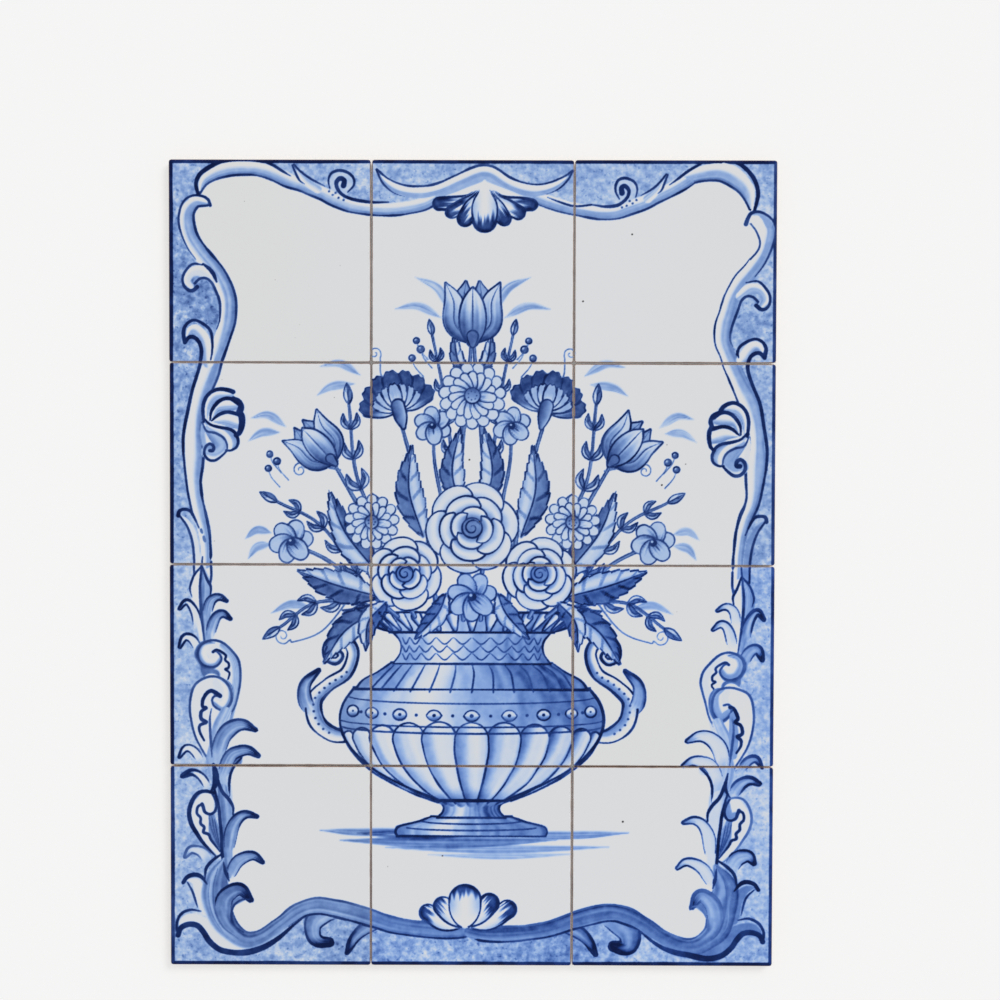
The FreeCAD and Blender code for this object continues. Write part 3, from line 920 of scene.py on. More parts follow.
def shoulder_band():
    """Two lines round the shoulder with a row of petals and dots between them."""
    for height, width in ((-113, 1.4), (-108.5, 1.1), (-92, 1.1)):
        place = (height - BELLY_LOW) / (BELLY_HIGH - BELLY_LOW)
        round_line(0.5 * through(BELLY, np.array([place]))[0], height, 5, width)
    for a in np.linspace(-1.2, 1.2, 9):
        x, y, wide = 89 * np.sin(a), -100.5 - 5 * np.cos(a), max(np.cos(a), 0.3)
        mark = sweep([(x - 4.5 * wide, y), (x + 4.5 * wide, y)], (2.0, 7.5, 2.0))
        flood(mark, 0.12 + 0.5 * rise(0.2, -0.9, mark.across))
        contour(mark, 1.1)
        ink(blob(x, y, 2.0 * wide + 0.6))
    for a in np.linspace(-1.05, 1.05, 8):
        ink(blob(89 * np.sin(a), -100.5 - 5 * np.cos(a), 2.2), 0.8)


def neck_and_lip():
    section(-87, -68, (162, 152, 130, 112), 0.55)
    for a in np.linspace(-1.2, 1.2, 13):
        low, high = 76 * np.sin(a), 57 * np.sin(a)
        stroke([(low, -86 - 3 * np.cos(a)), ((low + high) / 2 + 1.5, -76), (high, -69)], 1.3, 0.8,
               (0.9, 0.3))
    section(-69, -46, (110, 100, 100, 112), 0.4)
    for row, v in enumerate((-64, -58.5, -53)):
        for a in np.linspace(-1.17, 1.17, 10 + row % 2):
            x, wide = 50 * np.sin(a), 6.0 * np.cos(a)
            stroke([(x - wide, v + 2.2), (x, v - 2.2), (x + wide, v + 2.2)], 1.0, 0.8, (0.6, 0.6))
    lip = section(-47, -33, (114, 138, 152, 150), 0.55)
    for a in np.linspace(-1.35, 1.35, 15):
        x = 71 * np.sin(a)
        mark = sweep([(0.86 * x, -45), (x, -36)], np.array((3.0, 8.5)) * max(np.cos(a), 0.22))
        flood(mark, 0.1 + 0.55 * rise(0, 0.9, mark.across) + 0.3 * rise(0.4, 0, mark.along))
        contour(mark, 1.1)
    contour(lip, 1.7, 0.93)


shadow()
for hand in (1, -1):
    handle(hand)
section(-190, -176, (104, 106, 100, 74, 56), 0.5, 1.6)
section(-177, -164, (48, 40, 40, 52), 0.62)
round_line(47, -183.5, 2.5, 1.2, 1.3)
round_line(36, -179, 2.5, 1.2, 1.3)
belly = section(BELLY_LOW, BELLY_HIGH, BELLY, 0.42)
gadroons()
shoulder_band()
contour(belly, 1.8, 0.93)
neck_and_lip()
print(f"{sweeps} strokes with the vase")

# %% [markdown]
# ## Leaves and flowers
# Each kind of flower is a way to lay petals. A petal grows dark out of its root and pales to its
# tip. Open flowers have a ring of petals round a dark heart, a rose has rings of cupped petals from
# the outside in, and tulips and carnations show from the side. A leaf has one lighter half, slanting
# veins and, where it is large, a toothed edge.

# %% Leaves, stalks and petals
def coil(x, y, radius, start, turns, hand):
    """Points of a small spiral, from its outer end inwards."""
    share = np.linspace(0, 1, 12)
    angle, arm = start + 2 * np.pi * turns * hand * share, radius * (1 - 0.8 * share)
    return [(x + r * math.cos(a), y + r * math.sin(a)) for a, r in zip(angle, arm)]


def leaf(points, width, tone=0.5, lit=1, teeth=0.0, veins=5, line=1.2):
    """A pointed leaf, lighter on its lit half."""
    mark = sweep(points, np.array((0.12, 0.7, 1.0, 0.85, 0.5, 0.03)) * width)
    tooth = (mark.along * mark.length / 6.5) % 1
    mark.depth = mark.depth - teeth * (1 - tooth) * rise(0.05, 0.25, mark.along)
    u, wide = mark.across * lit, np.abs(mark.across)
    slant = np.cos(2 * np.pi * (mark.along * veins - 0.55 * wide))
    vein = rise(0.6, 0.98, slant) * rise(0.05, 0.25, wide)
    body = tone * (0.62 + 0.5 * rise(0.1, -0.15, u) + 0.22 * bristles(mark, 4))
    flood(mark, body * (1 - 0.6 * rise(0.5, 0.05, np.abs(u - 0.45))) + 0.28 * vein)
    contour(mark, line, 0.9, 0.06)
    stroke(points, line, 0.88, (0.8, 0.1))


def stalk(points, width=2.2, tone=0.5):
    mark = sweep(points, (width * 1.2, width, width * 0.8))
    flood(mark, tone + 0.3 * mark.across)
    contour(mark, 0.75, 0.82)


def spray(points, width, pairs=4, size=15, tone=0.5):
    """A stalk with small leaves in pairs and one at its end."""
    path = smooth_line(points)[0]
    stalk(points, width, tone)
    for k in range(pairs):
        place = (k + 0.8) / (pairs + 0.6)
        i = int(place * (len(path) - 2))
        heading = math.atan2(*(path[i + 1] - path[i])[::-1])
        long = size * (1 - 0.35 * place)
        for side in (1, -1):
            half_way, end = heading + 0.75 * side, heading + 0.4 * side
            bent = path[i] + 0.55 * long * np.array((math.cos(half_way), math.sin(half_way)))
            leaf([path[i], bent, path[i] + long * np.array((math.cos(end), math.sin(end)))],
                 0.36 * long, tone, side, veins=2, line=0.9)
    ahead = (path[-1] - path[-4]) / np.hypot(*(path[-1] - path[-4]))
    leaf([path[-1], path[-1] + 0.4 * size * ahead, path[-1] + 0.85 * size * ahead], 0.34 * size, tone,
         veins=2, line=0.9)


def petal(root, angle, length, width, tone=0.55, tip=0.15, line=1.0):
    """A petal that grows dark out of its root and pales to its tip."""
    root, ahead = np.array(root, float), np.array((math.cos(angle), math.sin(angle)))
    mark = sweep([root, root + ahead * (length - 0.4 * width)], np.array((0.35, 0.8, 1.0, 0.85)) * width)
    body = tone + (tip - tone) * rise(0.1, 0.75, mark.along + 0.1 * bristles(mark, 5, 400))
    streaks = 0.3 * rise(0.1, 0.7, bristles(mark, 7, 300)) * rise(1.0, 0.4, mark.along)
    flood(mark, body + streaks + 0.3 * rise(0.55, 1.0, np.abs(mark.across)) * rise(0.9, 0.2, mark.along))
    contour(mark, line, 0.82)
    if line > 0.9:
        stroke([root + 0.12 * length * ahead, root + 0.5 * length * ahead], line, 0.8, (0.9, 0.1))


def berry(x, y, size):
    mark = blob(x, y, size)
    glint = np.exp(-np.hypot(mark.x - x + 0.2 * size, mark.y - y - 0.2 * size) ** 2 / (0.2 * size) ** 2)
    flood(mark, 0.7 - 0.65 * glint)
    contour(mark, 0.9)


print("plants: leaf, stalk, spray, petal, berry")

# %% Flowers
def rosette(x, y, size, petals=6, turn=0.3, tone=0.6, tip=0.2):
    """An open flower seen from above."""
    for k in range(petals):
        petal((x, y), turn + 2 * np.pi * k / petals, size, 1.72 * size * math.sin(np.pi / petals), tone,
              tip)
    ink(blob(x, y, 0.36 * size))
    flood(blob(x - 0.05 * size, y + 0.06 * size, 0.14 * size), 0.25)


def daisy(x, y, size, petals=13):
    """An open flower with two rings of narrow petals and a dotted heart."""
    for ring, (share, tone) in enumerate(((1.0, 0.5), (0.72, 0.65))):
        for k in range(petals):
            angle = 0.1 + (k + 0.5 * ring) * 2 * np.pi / petals
            petal((x, y), angle, size * share, 0.42 * size * share, tone, 0.12, 0.85)
    heart = blob(x, y, 0.5 * size)
    flood(heart, 0.45 + 0.25 * heart.across)
    contour(heart, 1.0)
    for k in range(7):
        ink(blob(x + 0.13 * size * math.cos(0.9 * k), y + 0.13 * size * math.sin(0.9 * k), 0.9))


def rose(x, y, size, turn=0.0):
    """A full flower of cupped petals, laid in rings from the outside in."""
    flood(blob(x, y, 1.5 * size), 0.6)
    for ring, (share, petals) in enumerate(((1.0, 6), (0.72, 5), (0.46, 4))):
        r = size * share
        for k in range(petals):
            middle = turn + 0.6 * ring + 2 * np.pi * k / petals
            angles = np.linspace(middle - 1.28 * np.pi / petals, middle + 1.28 * np.pi / petals, 6)
            rim = [(x + 0.72 * r * math.cos(a), y + 0.72 * r * math.sin(a)) for a in angles]
            mark = sweep(rim, np.array((0.16, 0.85, 1.0, 0.85, 0.16)) * 0.62 * r)
            body = (0.62 - 0.07 * ring) * rise(0.7, -0.8, 0.14 * bristles(mark, 2, 7) - mark.across)
            lip = 0.12 * rise(0.35, 0.9, -mark.across) * (1 + bristles(mark, 3, 9))
            flood(mark, np.maximum(body + lip, 0.02))
            contour(mark, 1.15)
    heart = blob(x, y, 0.46 * size)
    flood(heart, 0.5)
    contour(heart, 1.1, 0.92)
    stroke(coil(x, y, 0.19 * size, 0.4, 1.3, 1), 1.1, 0.95)


def tulip(x, y, size, lean=0.0, tone=0.55):
    """A tulip in profile: two petals behind, two at the sides and one in front."""
    def at(right, up):
        c, s = math.cos(lean), math.sin(lean)
        return x + size * (right * c - up * s), y + size * (up * c + right * s)

    def sheet(points, widths, root, tip, dark_side):
        mark = sweep([at(*point) for point in points], np.array(widths) * size)
        body = root + (tip - root) * rise(0.1, 0.8, mark.along + 0.12 * bristles(mark, 5, 400))
        flood(mark, body * (1 + 0.5 * rise(0.1, 0.9, mark.across * dark_side)))
        contour(mark, 1.15)
        stroke([at(*point) for point in points], 0.9, 0.75, (0.9, 0.1))

    for s in (1, -1):
        sheet([(0, 0.1), (s * 0.16, 0.55), (s * 0.12, 1.02)], (0.2, 0.42, 0.04), tone + 0.1, 0.35, s)
    for s in (1, -1):
        sheet([(0, 0), (s * 0.3, 0.28), (s * 0.33, 0.68), (s * 0.47, 1.0)], (0.14, 0.36, 0.34, 0.03),
              tone, 0.12, -s)
    sheet([(0, 0), (0, 0.4), (0, 0.92)], (0.2, 0.46, 0.4, 0.03), tone, 0.08, 1)
    cup = sweep([at(0, -0.07), at(0, 0.08)], (0.1 * size, 0.2 * size))
    flood(cup, 0.6)
    contour(cup, 1.0)


def carnation(x, y, size, lean=0.0):
    """A carnation in profile: a fan of toothed petals over a narrow cup."""
    ahead = np.array((-math.sin(lean), math.cos(lean)))
    for ring, (share, dark) in enumerate(((1.0, 0.75), (0.68, 0.62))):
        for a in sorted(np.linspace(-1.25, 1.25, 7), key=lambda a: -abs(a)):
            angle, long = np.pi / 2 + lean + a * (1 - 0.12 * ring), 0.85 * size * share
            end = x + long * math.cos(angle), y + long * math.sin(angle)
            mark = sweep([(x, y), end], np.array((0.1, 0.55, 0.62)) * long)
            teeth = 0.5 + 0.5 * np.cos(9 * mark.across)
            mark.depth = mark.depth - 0.9 * teeth * rise(0.8, 1.0, mark.along)
            body = dark * rise(0.15, 0.95, mark.along + 0.16 * bristles(mark, 6, 500)) * (1 - 0.55 * ring)
            flood(mark, body + 0.4 * rise(0.3, 0, mark.along))
            contour(mark, 1.0)
    here = np.array((x, y))
    cup = sweep([here - 0.5 * size * ahead, here + 0.12 * size * ahead],
                np.array((0.12, 0.34, 0.36)) * size)
    flood(cup, 0.5 + 0.3 * cup.across)
    contour(cup, 1.1)


print("flowers: rosette, daisy, rose, tulip, carnation")

# %% [markdown]
# ## The bouquet
# Old flower panels are strictly balanced: whatever stands on the left stands on the right too. So
# one function plants both sides, farthest stalks first, and the flowers on the middle line come
# last. The sizes were chosen to fill the field as fully as the border fills its own band.

# %% Paint the bouquet
def back_stalks(at):
    stalk(at((6, -38), (8, 60), (0.5, 158)))
    stalk(at((24, -36), (34, 40), (50, 100)))
    stalk(at((40, -36), (70, 24), (96, 70)))
    stalk(at((20, 40), (26, 70), (27, 92)), 1.6)
    stalk(at((52, -36), (96, 0), (124, 14)))
    spray(at((60, 20), (80, 60), (86, 112)), 1.6, 4, 17)
    spray(at((70, -20), (104, 26), (136, 44)), 1.6, 4, 16)
    spray(at((12, 60), (20, 120), (28, 160)), 1.4, 4, 13, 0.42)
    spray(at((62, -30), (106, -26), (134, -44)), 1.6, 4, 17)
    for run, curl in ((((84, -22), (104, -46), (124, -54)), (132, -50, 6, 3.6, 1.4, 1)),
                      (((92, 66), (112, 70)), (120, 66, 5, 1.8, 1.3, -1)),
                      (((46, 104), (62, 128), (64, 142)), (68, 147, 4.5, 3.4, 1.2, -1))):
        ink(sweep(at(*run, *coil(*curl)), (1.3, 1.1, 0.9, 0.7)), 0.62)
    for run in (((16, 176), (24, 192), (40, 200)), ((22, 172), (38, 180), (54, 178)),
                ((78, 132), (92, 140), (106, 138)), ((82, 126), (98, 124), (108, 118)),
                ((130, 96), (142, 104), (154, 102)), ((134, 92), (146, 92), (156, 86)),
                ((140, 22), (150, 24), (158, 18)), ((140, 14), (150, 12), (156, 4)),
                ((112, -30), (126, -28), (140, -34))):
        dab = sweep(at(*run), (0.4, 5.5, 4.5, 0.3))
        tint(dab, 0.3 * (1 + 0.5 * bristles(dab, 3, 20)))


def side_flowers(hand):
    at = mirrored(hand)
    carnation(hand * 51, 108, 25, -0.25 * hand)
    tulip(hand * 97, 72, 34, -0.75 * hand)
    rosette(hand * 27.5, 97, 13, 6, 0.4 * hand)
    rosette(hand * 126, 16, 15, 6, 0.2)
    for x, y, size in ((36, 150, 5), (42, 144, 4.4), (39, 156, 4.2), (136, 72, 4.6), (142, 67, 4.2),
                       (141, 77, 4)):
        ink(sweep(at((x - 8, y - 13), (x - 2, y - 6), (x, y)), (0.9, 0.6)), 0.6)
        berry(hand * x, y, size)
    leaf(at((34, 20), (44, 52), (42, 84)), 21, 0.5, hand, 1.2)
    leaf(at((62, -10), (88, 22), (100, 52)), 22, 0.52, -hand, 1.2)
    leaf(at((66, -22), (96, -14), (122, -4)), 23, 0.55, hand, 1.3)
    leaf(at((62, -30), (88, -46), (104, -70)), 20, 0.55, -hand, 1.3)
    leaf(at((8, 40), (14, 66), (8, 96)), 17, 0.5, hand, 1.0)
    daisy(hand * 70, 30, 19)
    rose(hand * 47, -6, 25, 0.3 * hand)


for hand in (1, -1):
    back_stalks(mirrored(hand))
    side_flowers(hand)
    leaf(mirrored(hand)((0, 134), (10, 142), (13, 162)), 10, 0.5, hand, 0.8, 4)
tulip(0, 156, 40)
daisy(0, 118, 23, 15)
rose(0, 26, 31, 0.2)
for hand in (1, -1):
    at = mirrored(hand)
    leaf(at((18, -20), (24, -34), (40, -52)), 15, 0.55, -hand, 1.0)
    leaf(at((60, -26), (72, -40), (74, -60)), 15, 0.55, hand, 1.0)
rosette(0, -22, 17, 7, 0.2, 0.62, 0.25)
print(f"{sweeps} strokes in all")

# %% [markdown]
# ## Flaws in the glaze
# Iron specks in the clay burn through a white glaze as small dark dots, some sharp and some faint.
# They are part of the panel, so they get an array of their own: how deep a point lies in a speck.

# %% Specks
SPECKS = [(-2, 71, 1.5), (131.5, 54, 1.6), (105, -180, 1.7), (110.5, 227.5, 1.5), (76.5, 181, 1.5),
          (148, 68.5, 1.1), (135, 82, 1.0), (5, 28, 1.2), (-20, -204, 1.3), (-48, 73.5, 0.8),
          (116, -34, 0.8), (142, -34, 0.8), (-58, -211.5, 0.9), (-96, 114, 0.8), (-174, 126, 0.7),
          (-179, 14, 0.8), (-158.5, 250, 0.8), (-120, 164.5, 0.7), (-123, 155.5, 0.6),
          (-92, 205.5, 0.7), (-137, 195.5, 0.6)]
speck = np.full_like(wash, -FAR)
for x, y, size in SPECKS:
    mark = blob(*squared(x, y), size)
    speck[mark.here] = np.maximum(speck[mark.here], mark.depth)
print(f"{len(SPECKS)} specks, {np.count_nonzero(speck > 0)} canvas points")

# %% [markdown]
# ## The tile
# All twelve tiles are pressed in one die, so one mesh is made and copied. Its face is a fine grid,
# one vertex for each canvas point. From its rim, rings of edges are extruded: three over the arris,
# where the glaze rolls down, then the side, which leans in to the foot, and the small chamfer round
# the back. The back is a coarse grid with its squares pressed in as keys for the mortar. A fill of
# triangles joins it to the last ring.

# %% Press the tile
SIDE_UNDERCUT = 0.6
CORNER_WEAR = 0.5
BACK_ARRIS = 0.4
KEYS, KEY_RIM, KEY_RIB, KEY_DEPTH, KEY_SLOPE = 6, 6.0, 3.2, 0.9, 0.5
SHOULDER = THICKNESS - GLAZE_ROLL


def next_ring(bm, rim, reach, height):
    """Extrude a closed rim into a square ring of this half side and height, and return its edges."""
    made = bmesh.ops.extrude_edge_only(bm, edges=rim)["geom"]
    verts = [part for part in made if isinstance(part, bmesh.types.BMVert)]
    grow = reach / max(v.co.x for v in verts)
    bmesh.ops.scale(bm, vec=(grow, grow, 1), verts=verts)
    bmesh.ops.translate(bm, vec=(0, 0, height - verts[0].co.z), verts=verts)
    return [part for part in made if isinstance(part, bmesh.types.BMEdge) and part.is_boundary]


def keyed_back(bm):
    """The pressed middle of the back, and the edges round it."""
    keyed = TILE_SIDE - 2 * SIDE_UNDERCUT - 2 * KEY_RIM
    mouth = (keyed - (KEYS - 1) * KEY_RIB) / KEYS
    lines = 2 * KEYS - 1
    verts = bmesh.ops.create_grid(bm, x_segments=lines, y_segments=lines, size=keyed / 2)["verts"]
    faces = {face for v in verts for face in v.link_faces}
    step = keyed / lines

    def is_pocket(face):
        return all(int((c + keyed / 2) / step) % 2 == 0 for c in face.calc_center_median().xy)

    pockets = [face for face in faces if is_pocket(face)]
    for v in verts:
        for axis in (0, 1):
            k = round((v.co[axis] + keyed / 2) / step)
            v.co[axis] = (k // 2) * (mouth + KEY_RIB) + (k % 2) * mouth - keyed / 2
    shrink = 1 - 2 * KEY_SLOPE / mouth
    for face in bmesh.ops.extrude_discrete_faces(bm, faces=pockets)["faces"]:
        middle = Matrix.Translation(-face.calc_center_median())
        bmesh.ops.scale(bm, vec=(shrink, shrink, 1), space=middle, verts=face.verts)
        bmesh.ops.translate(bm, vec=(0, 0, KEY_DEPTH), verts=face.verts)
    return [edge for edge in {e for v in verts for e in v.link_edges} if edge.is_boundary]


def pressed_tile():
    """One tile about its own middle, in millimetres."""
    bm = bmesh.new()
    on_top = Matrix.Translation((0, 0, THICKNESS))
    bmesh.ops.create_grid(bm, x_segments=CELLS, y_segments=CELLS, size=FACE / 2, matrix=on_top)
    rim = [edge for edge in bm.edges if edge.is_boundary]
    for angle in np.radians((30, 60, 90)):
        rim = next_ring(bm, rim, FACE / 2 + GLAZE_ROLL * np.sin(angle),
                        SHOULDER + GLAZE_ROLL * np.cos(angle))
    rim = next_ring(bm, rim, TILE_SIDE / 2 - SIDE_UNDERCUT, BACK_ARRIS)
    rim = next_ring(bm, rim, TILE_SIDE / 2 - SIDE_UNDERCUT - BACK_ARRIS, 0)
    bmesh.ops.triangle_fill(bm, use_beauty=True, edges=rim + keyed_back(bm), normal=(0, 0, -1))
    corners = [v for v in bm.verts if min(abs(v.co.x), abs(v.co.y)) > FACE / 2 - GLAZE_ROLL / 2]
    worn = 1 - CORNER_WEAR * math.sqrt(2) / TILE_SIDE
    bmesh.ops.scale(bm, vec=(worn, worn, 1), verts=corners)
    bmesh.ops.recalc_face_normals(bm, faces=bm.faces)
    return bm


tile = pressed_tile()
volume = tile.calc_volume() / 1000
print(f"one tile: {len(tile.verts)} vertices, {len(tile.faces)} faces, volume {volume:.1f} cm3")

# %% [markdown]
# The glaze covers the face and the arris, and the sides and back are bare biscuit, so the faces get
# two materials. The tile also gets a flat layout of its surface: the face large, since the picture
# is on it, the four sides as strips above it, and the back small in the corner left over.

# %% Mark the glazed faces and lay out the surface
FACE_SHARE, BACK_SHARE = 0.8, 0.18  # of the layout's width
MARGIN, BACK_LEFT = 0.005, 0.815
STRIP_LOW, STRIP_STEP, STRIP_TALL = 0.82, 0.045, 0.035


def flat_place(co, normal):
    """Where a point of the tile lies in the flat layout, from the way its face looks."""
    along = 0.5 + np.array(co) / TILE_SIDE
    if normal.z > 0.1 or co.z > SHOULDER:
        return MARGIN + FACE_SHARE * along[0], MARGIN + FACE_SHARE * along[1]
    if normal.z < -0.75 or max(abs(co.x), abs(co.y)) < TILE_SIDE / 2 - KEY_RIM / 2:
        return BACK_LEFT + BACK_SHARE * along[0], MARGIN + BACK_SHARE * along[1]
    axis = 0 if abs(normal.x) > abs(normal.y) else 1
    strip = 2 * axis + (normal[axis] > 0)
    up = STRIP_LOW + STRIP_STEP * strip + STRIP_TALL * co.z / THICKNESS
    return MARGIN + FACE_SHARE * along[1 - axis], up


flat = tile.loops.layers.uv.new("OFBake")
for face in tile.faces:
    glazed = min(v.co.z for v in face.verts) > SHOULDER - 0.01
    face.material_index = 0 if glazed else 1
    face.smooth = glazed
    for loop in face.loops:
        loop[flat].uv = flat_place(loop.vert.co, face.normal)
blank = bpy.data.meshes.new("tile_blank")
tile.to_mesh(blank)
tile.free()
print(f"{sum(p.material_index == 0 for p in blank.polygons)} faces are glazed")

# %% [markdown]
# ## Shader sums in plain Python
# A material is a sum of noises and attributes. Written as nodes it is hard to read, so a small class
# stands for a socket and takes part in Python sums, each of which adds a Math node. One method adds
# every other kind of node.

# %% A socket that can be added and multiplied
class Term:
    """An output socket of a material's nodes, which works in Python sums."""

    def __init__(self, tree, socket):
        self.tree, self.socket = tree, socket

    def node(self, kind, settings, sockets, out=0):
        """Add a node: its settings first, then its sockets by place, each a term or a value."""
        made = self.tree.nodes.new(kind)
        for name, value in settings.items():
            if name == "stops":
                set_stops(made.color_ramp, value)
            else:
                setattr(made, name, value)
        for place, value in sockets.items():
            if isinstance(value, Term):
                self.tree.links.new(value.socket, made.inputs[place])
            else:
                made.inputs[place].default_value = value
        return Term(self.tree, made.outputs[out])

    def sum(self, operation, *values):
        return self.node("ShaderNodeMath", {"operation": operation}, dict(enumerate(values)))

    def __add__(self, other):
        return self.sum("ADD", self, other)

    def __sub__(self, other):
        return self.sum("SUBTRACT", self, other)

    def __rsub__(self, other):
        return self.sum("SUBTRACT", other, self)

    def __mul__(self, other):
        return self.sum("MULTIPLY", self, other)

    def __truediv__(self, other):
        return self.sum("DIVIDE", self, other)

    __radd__, __rmul__ = __add__, __mul__

    def rise(self, low, high):
        """0 at low, 1 at high and a smooth rise between."""
        return self.node("ShaderNodeMapRange", {"interpolation_type": "SMOOTHSTEP"},
                         {0: self, 1: low, 2: high})

    def mix(self, first, second):
        """The colour between first and second, with this term as the share of the second."""
        return self.node("ShaderNodeMix", {"data_type": "RGBA"}, {0: self, 6: first, 7: second}, 2)

    def noise(self, grain_mm, detail=2.0, lift=0.0):
        """Smooth noise about 0 with grains of this size, read at this term, which is a place."""
        place = self.node("ShaderNodeVectorMath", {"operation": "ADD"}, {0: self, 1: (lift, lift, 0)})
        return place.node("ShaderNodeTexNoise", {}, {0: place, 2: 1 / (grain_mm * MM), 3: detail}) - 0.5


def set_stops(ramp, stops):
    """Give a ramp its stops: place and colour, each colour as red, green and blue of 255."""
    while len(ramp.elements) < len(stops):
        ramp.elements.new(0.5)
    for element, (place, colour) in zip(ramp.elements, stops):
        element.position, element.color = place, paint(*colour)


def paint(red, green, blue):
    """A colour as it looks, in parts of 255, as the linear colour that a shader wants."""
    parts = [part / 255 for part in (red, green, blue)]
    return (*[p / 12.92 if p <= 0.04045 else ((p + 0.055) / 1.055) ** 2.4 for p in parts], 1.0)


def new_material(name):
    """A bare material: its place term, its shader node and itself."""
    made = bpy.data.materials.new(name)
    made.use_nodes = True
    nodes = made.node_tree.nodes
    place = Term(made.node_tree, nodes.new("ShaderNodeTexCoord").outputs["Object"])
    return place, nodes["Principled BSDF"], made


def feed(shader, **terms):
    """Join terms to the shader's sockets, which are named with _ for a space."""
    for name, term in terms.items():
        term.tree.links.new(term.socket, shader.inputs[name.replace("_", " ")])


print("a glaze grey of 216 is", round(paint(216, 216, 216)[0], 3), "in linear light")

# %% [markdown]
# ## The painted glaze
# Cobalt under a glaze goes from a pale grey blue to nearly black as it gets thicker, and it does not
# keep one hue on the way. So every mark only says how much pigment there is, and one ramp turns
# pigment into colour. Thin washes gather in cloudy pools, a sponge leaves round dabs, and a line's edge
# is ragged where the glaze drew it out. Over the arris the glaze thins and the warm biscuit shows,
# painted a brown darker than the bare clay: partly the biscuit, partly painted shade of the open joints.
# The tiles at the lower right have a second ramp with a clearer blue.

# %% Mix the painted glaze
COBALT = [(0.0, (217, 219, 222)), (0.10, (197, 209, 227)), (0.22, (162, 187, 224)), (0.32, (135, 164, 213)),
          (0.42, (112, 143, 198)), (0.52, (91, 121, 179)), (0.62, (72, 100, 160)), (0.72, (52, 79, 139)),
          (0.82, (32, 57, 116)), (0.91, (15, 38, 92)), (1.0, (6, 22, 66))]


def clearer(place, colour):
    """A stop of the ramp, made bluer unless it is thin or nearly black."""
    much = min(1.6 * place, 1.0) * (place < 0.9)
    red, green, blue = colour
    return place, (red - 4 * much, green + much, blue + 11 * much)


CLEAR_COBALT = [clearer(*stop) for stop in COBALT]


def painted_glaze():
    place, shader, made = new_material("painted_glaze")

    def attribute(name):
        return place.node("ShaderNodeAttribute", {"attribute_name": name}, {}, 2)

    pools = place.noise(7, 3, 3)
    dabs = place.noise(3.4, 2.5, 1)
    clouds = place.noise(26, 2, 2)
    spots = place.noise(2.8, 1, 11).rise(0.12, 0.26)
    sponged = attribute("sponge") * (0.25 + 0.55 * dabs + 0.35 * clouds + 0.3 * pools + 0.16 * spots)
    washed = attribute("wash") * (1 + 0.55 * pools + 0.3 * dabs)
    ground = sponged + washed
    edge = attribute("line") + 0.5 * place.noise(1.6, 2, 4)
    inked = edge.rise(-0.5, 0.42)
    tone = attribute("line_tone") + 0.3 * pools
    pigment = ground + inked * (tone - ground)
    ramps = [pigment.node("ShaderNodeValToRGB", {"stops": s}, {0: pigment}) for s in (COBALT, CLEAR_COBALT)]
    colour = attribute("clear").mix(*ramps)
    warmth = (place.noise(160, 1, 5) + attribute("batch")).rise(-0.3, 0.4) * (1 - pigment.rise(0, 0.3))
    colour = (0.4 * warmth).mix(colour, paint(217, 216, 213))
    colour = attribute("speck").rise(-0.25, 0.35).mix(colour, paint(52, 46, 48))
    # Painted shade: down the arris the colour turns to a brown darker than the clay, partly the biscuit
    # where the glaze thins and partly the shade of the open joints.
    worn = (attribute("arris") + 0.16 * place.noise(6, 3, 6)).rise(0.08, 0.28) * (1 - 0.8 * inked)
    bare = place.noise(14, 3, 9).rise(-0.2, 0.2).mix(paint(124, 102, 96), paint(164, 142, 132))
    colour = worn.mix(colour, bare)
    ripple = place.noise(30, 1, 7) + 0.12 * place.noise(5, 2, 8)
    bump = ripple.node("ShaderNodeBump", {}, {0: 0.25, 1: 0.4 * MM, "Height": ripple})
    feed(shader, Base_Color=colour, Roughness=0.12 + 0.1 * pools + 0.4 * worn, Normal=bump)
    shader.inputs["Specular IOR Level"].default_value = 0.06
    return made


glaze = painted_glaze()
print(f"painted glaze: {len(glaze.node_tree.nodes)} nodes")

# %% [markdown]
# ## The biscuit
# The sides and the back are the bare fired clay: pale buff, chalky, with grains of red grog, a few
# dark spots and small pores left by the press.

# %% Mix the biscuit
def biscuit_clay():
    place, shader, made = new_material("biscuit_clay")
    clouds = place.noise(22, 3, 1)
    body = clouds.rise(-0.3, 0.3).mix(paint(206, 178, 146), paint(222, 200, 172))
    grog = place.noise(1.5, 2, 2).rise(0.14, 0.24)
    body = (0.6 * grog).mix(body, paint(172, 112, 78))
    spots = place.noise(4, 1, 3).rise(0.24, 0.3)
    body = (0.7 * spots).mix(body, paint(96, 78, 66))
    dust = place.noise(9, 4, 4).rise(0.02, 0.22)
    body = (0.5 * dust).mix(body, paint(228, 216, 200))
    grit = place.noise(0.9, 3, 5) + 0.6 * clouds - 0.8 * spots
    bump = grit.node("ShaderNodeBump", {}, {0: 0.5, 1: 0.25 * MM, "Height": grit})
    feed(shader, Base_Color=body, Roughness=0.88 + 0.15 * clouds, Normal=bump)
    return made


clay = biscuit_clay()
print(f"biscuit: {len(clay.node_tree.nodes)} nodes")

# %% [markdown]
# ## Firing the picture onto the tiles
# Each tile is a copy of the pressed one, moved to where the frame's tile lies. Every vertex takes
# its values from the canvas point that it stands for. Because the canvas is the panel before laying,
# the tile's small shift and turn go with the picture, as they do on a wall.

# %% Dress the tiles
chance = np.random.default_rng(27)
coordinates = np.zeros(3 * len(blank.vertices))
blank.vertices.foreach_get("co", coordinates)
local = coordinates.reshape(-1, 3)
cell = np.clip(np.rint((local[:, :2] / FACE + 0.5) * CELLS), 0, CELLS).astype(int)
on_rim = ((cell == 0) | (cell == CELLS)).any(axis=1)
# The rim row of the face gets a little of the arris value too, which carries the painted joint shade onto
# the edge of the face.
arris = np.clip((THICKNESS - local[:, 2]) / GLAZE_ROLL, 0, 1) + 0.12 * on_rim


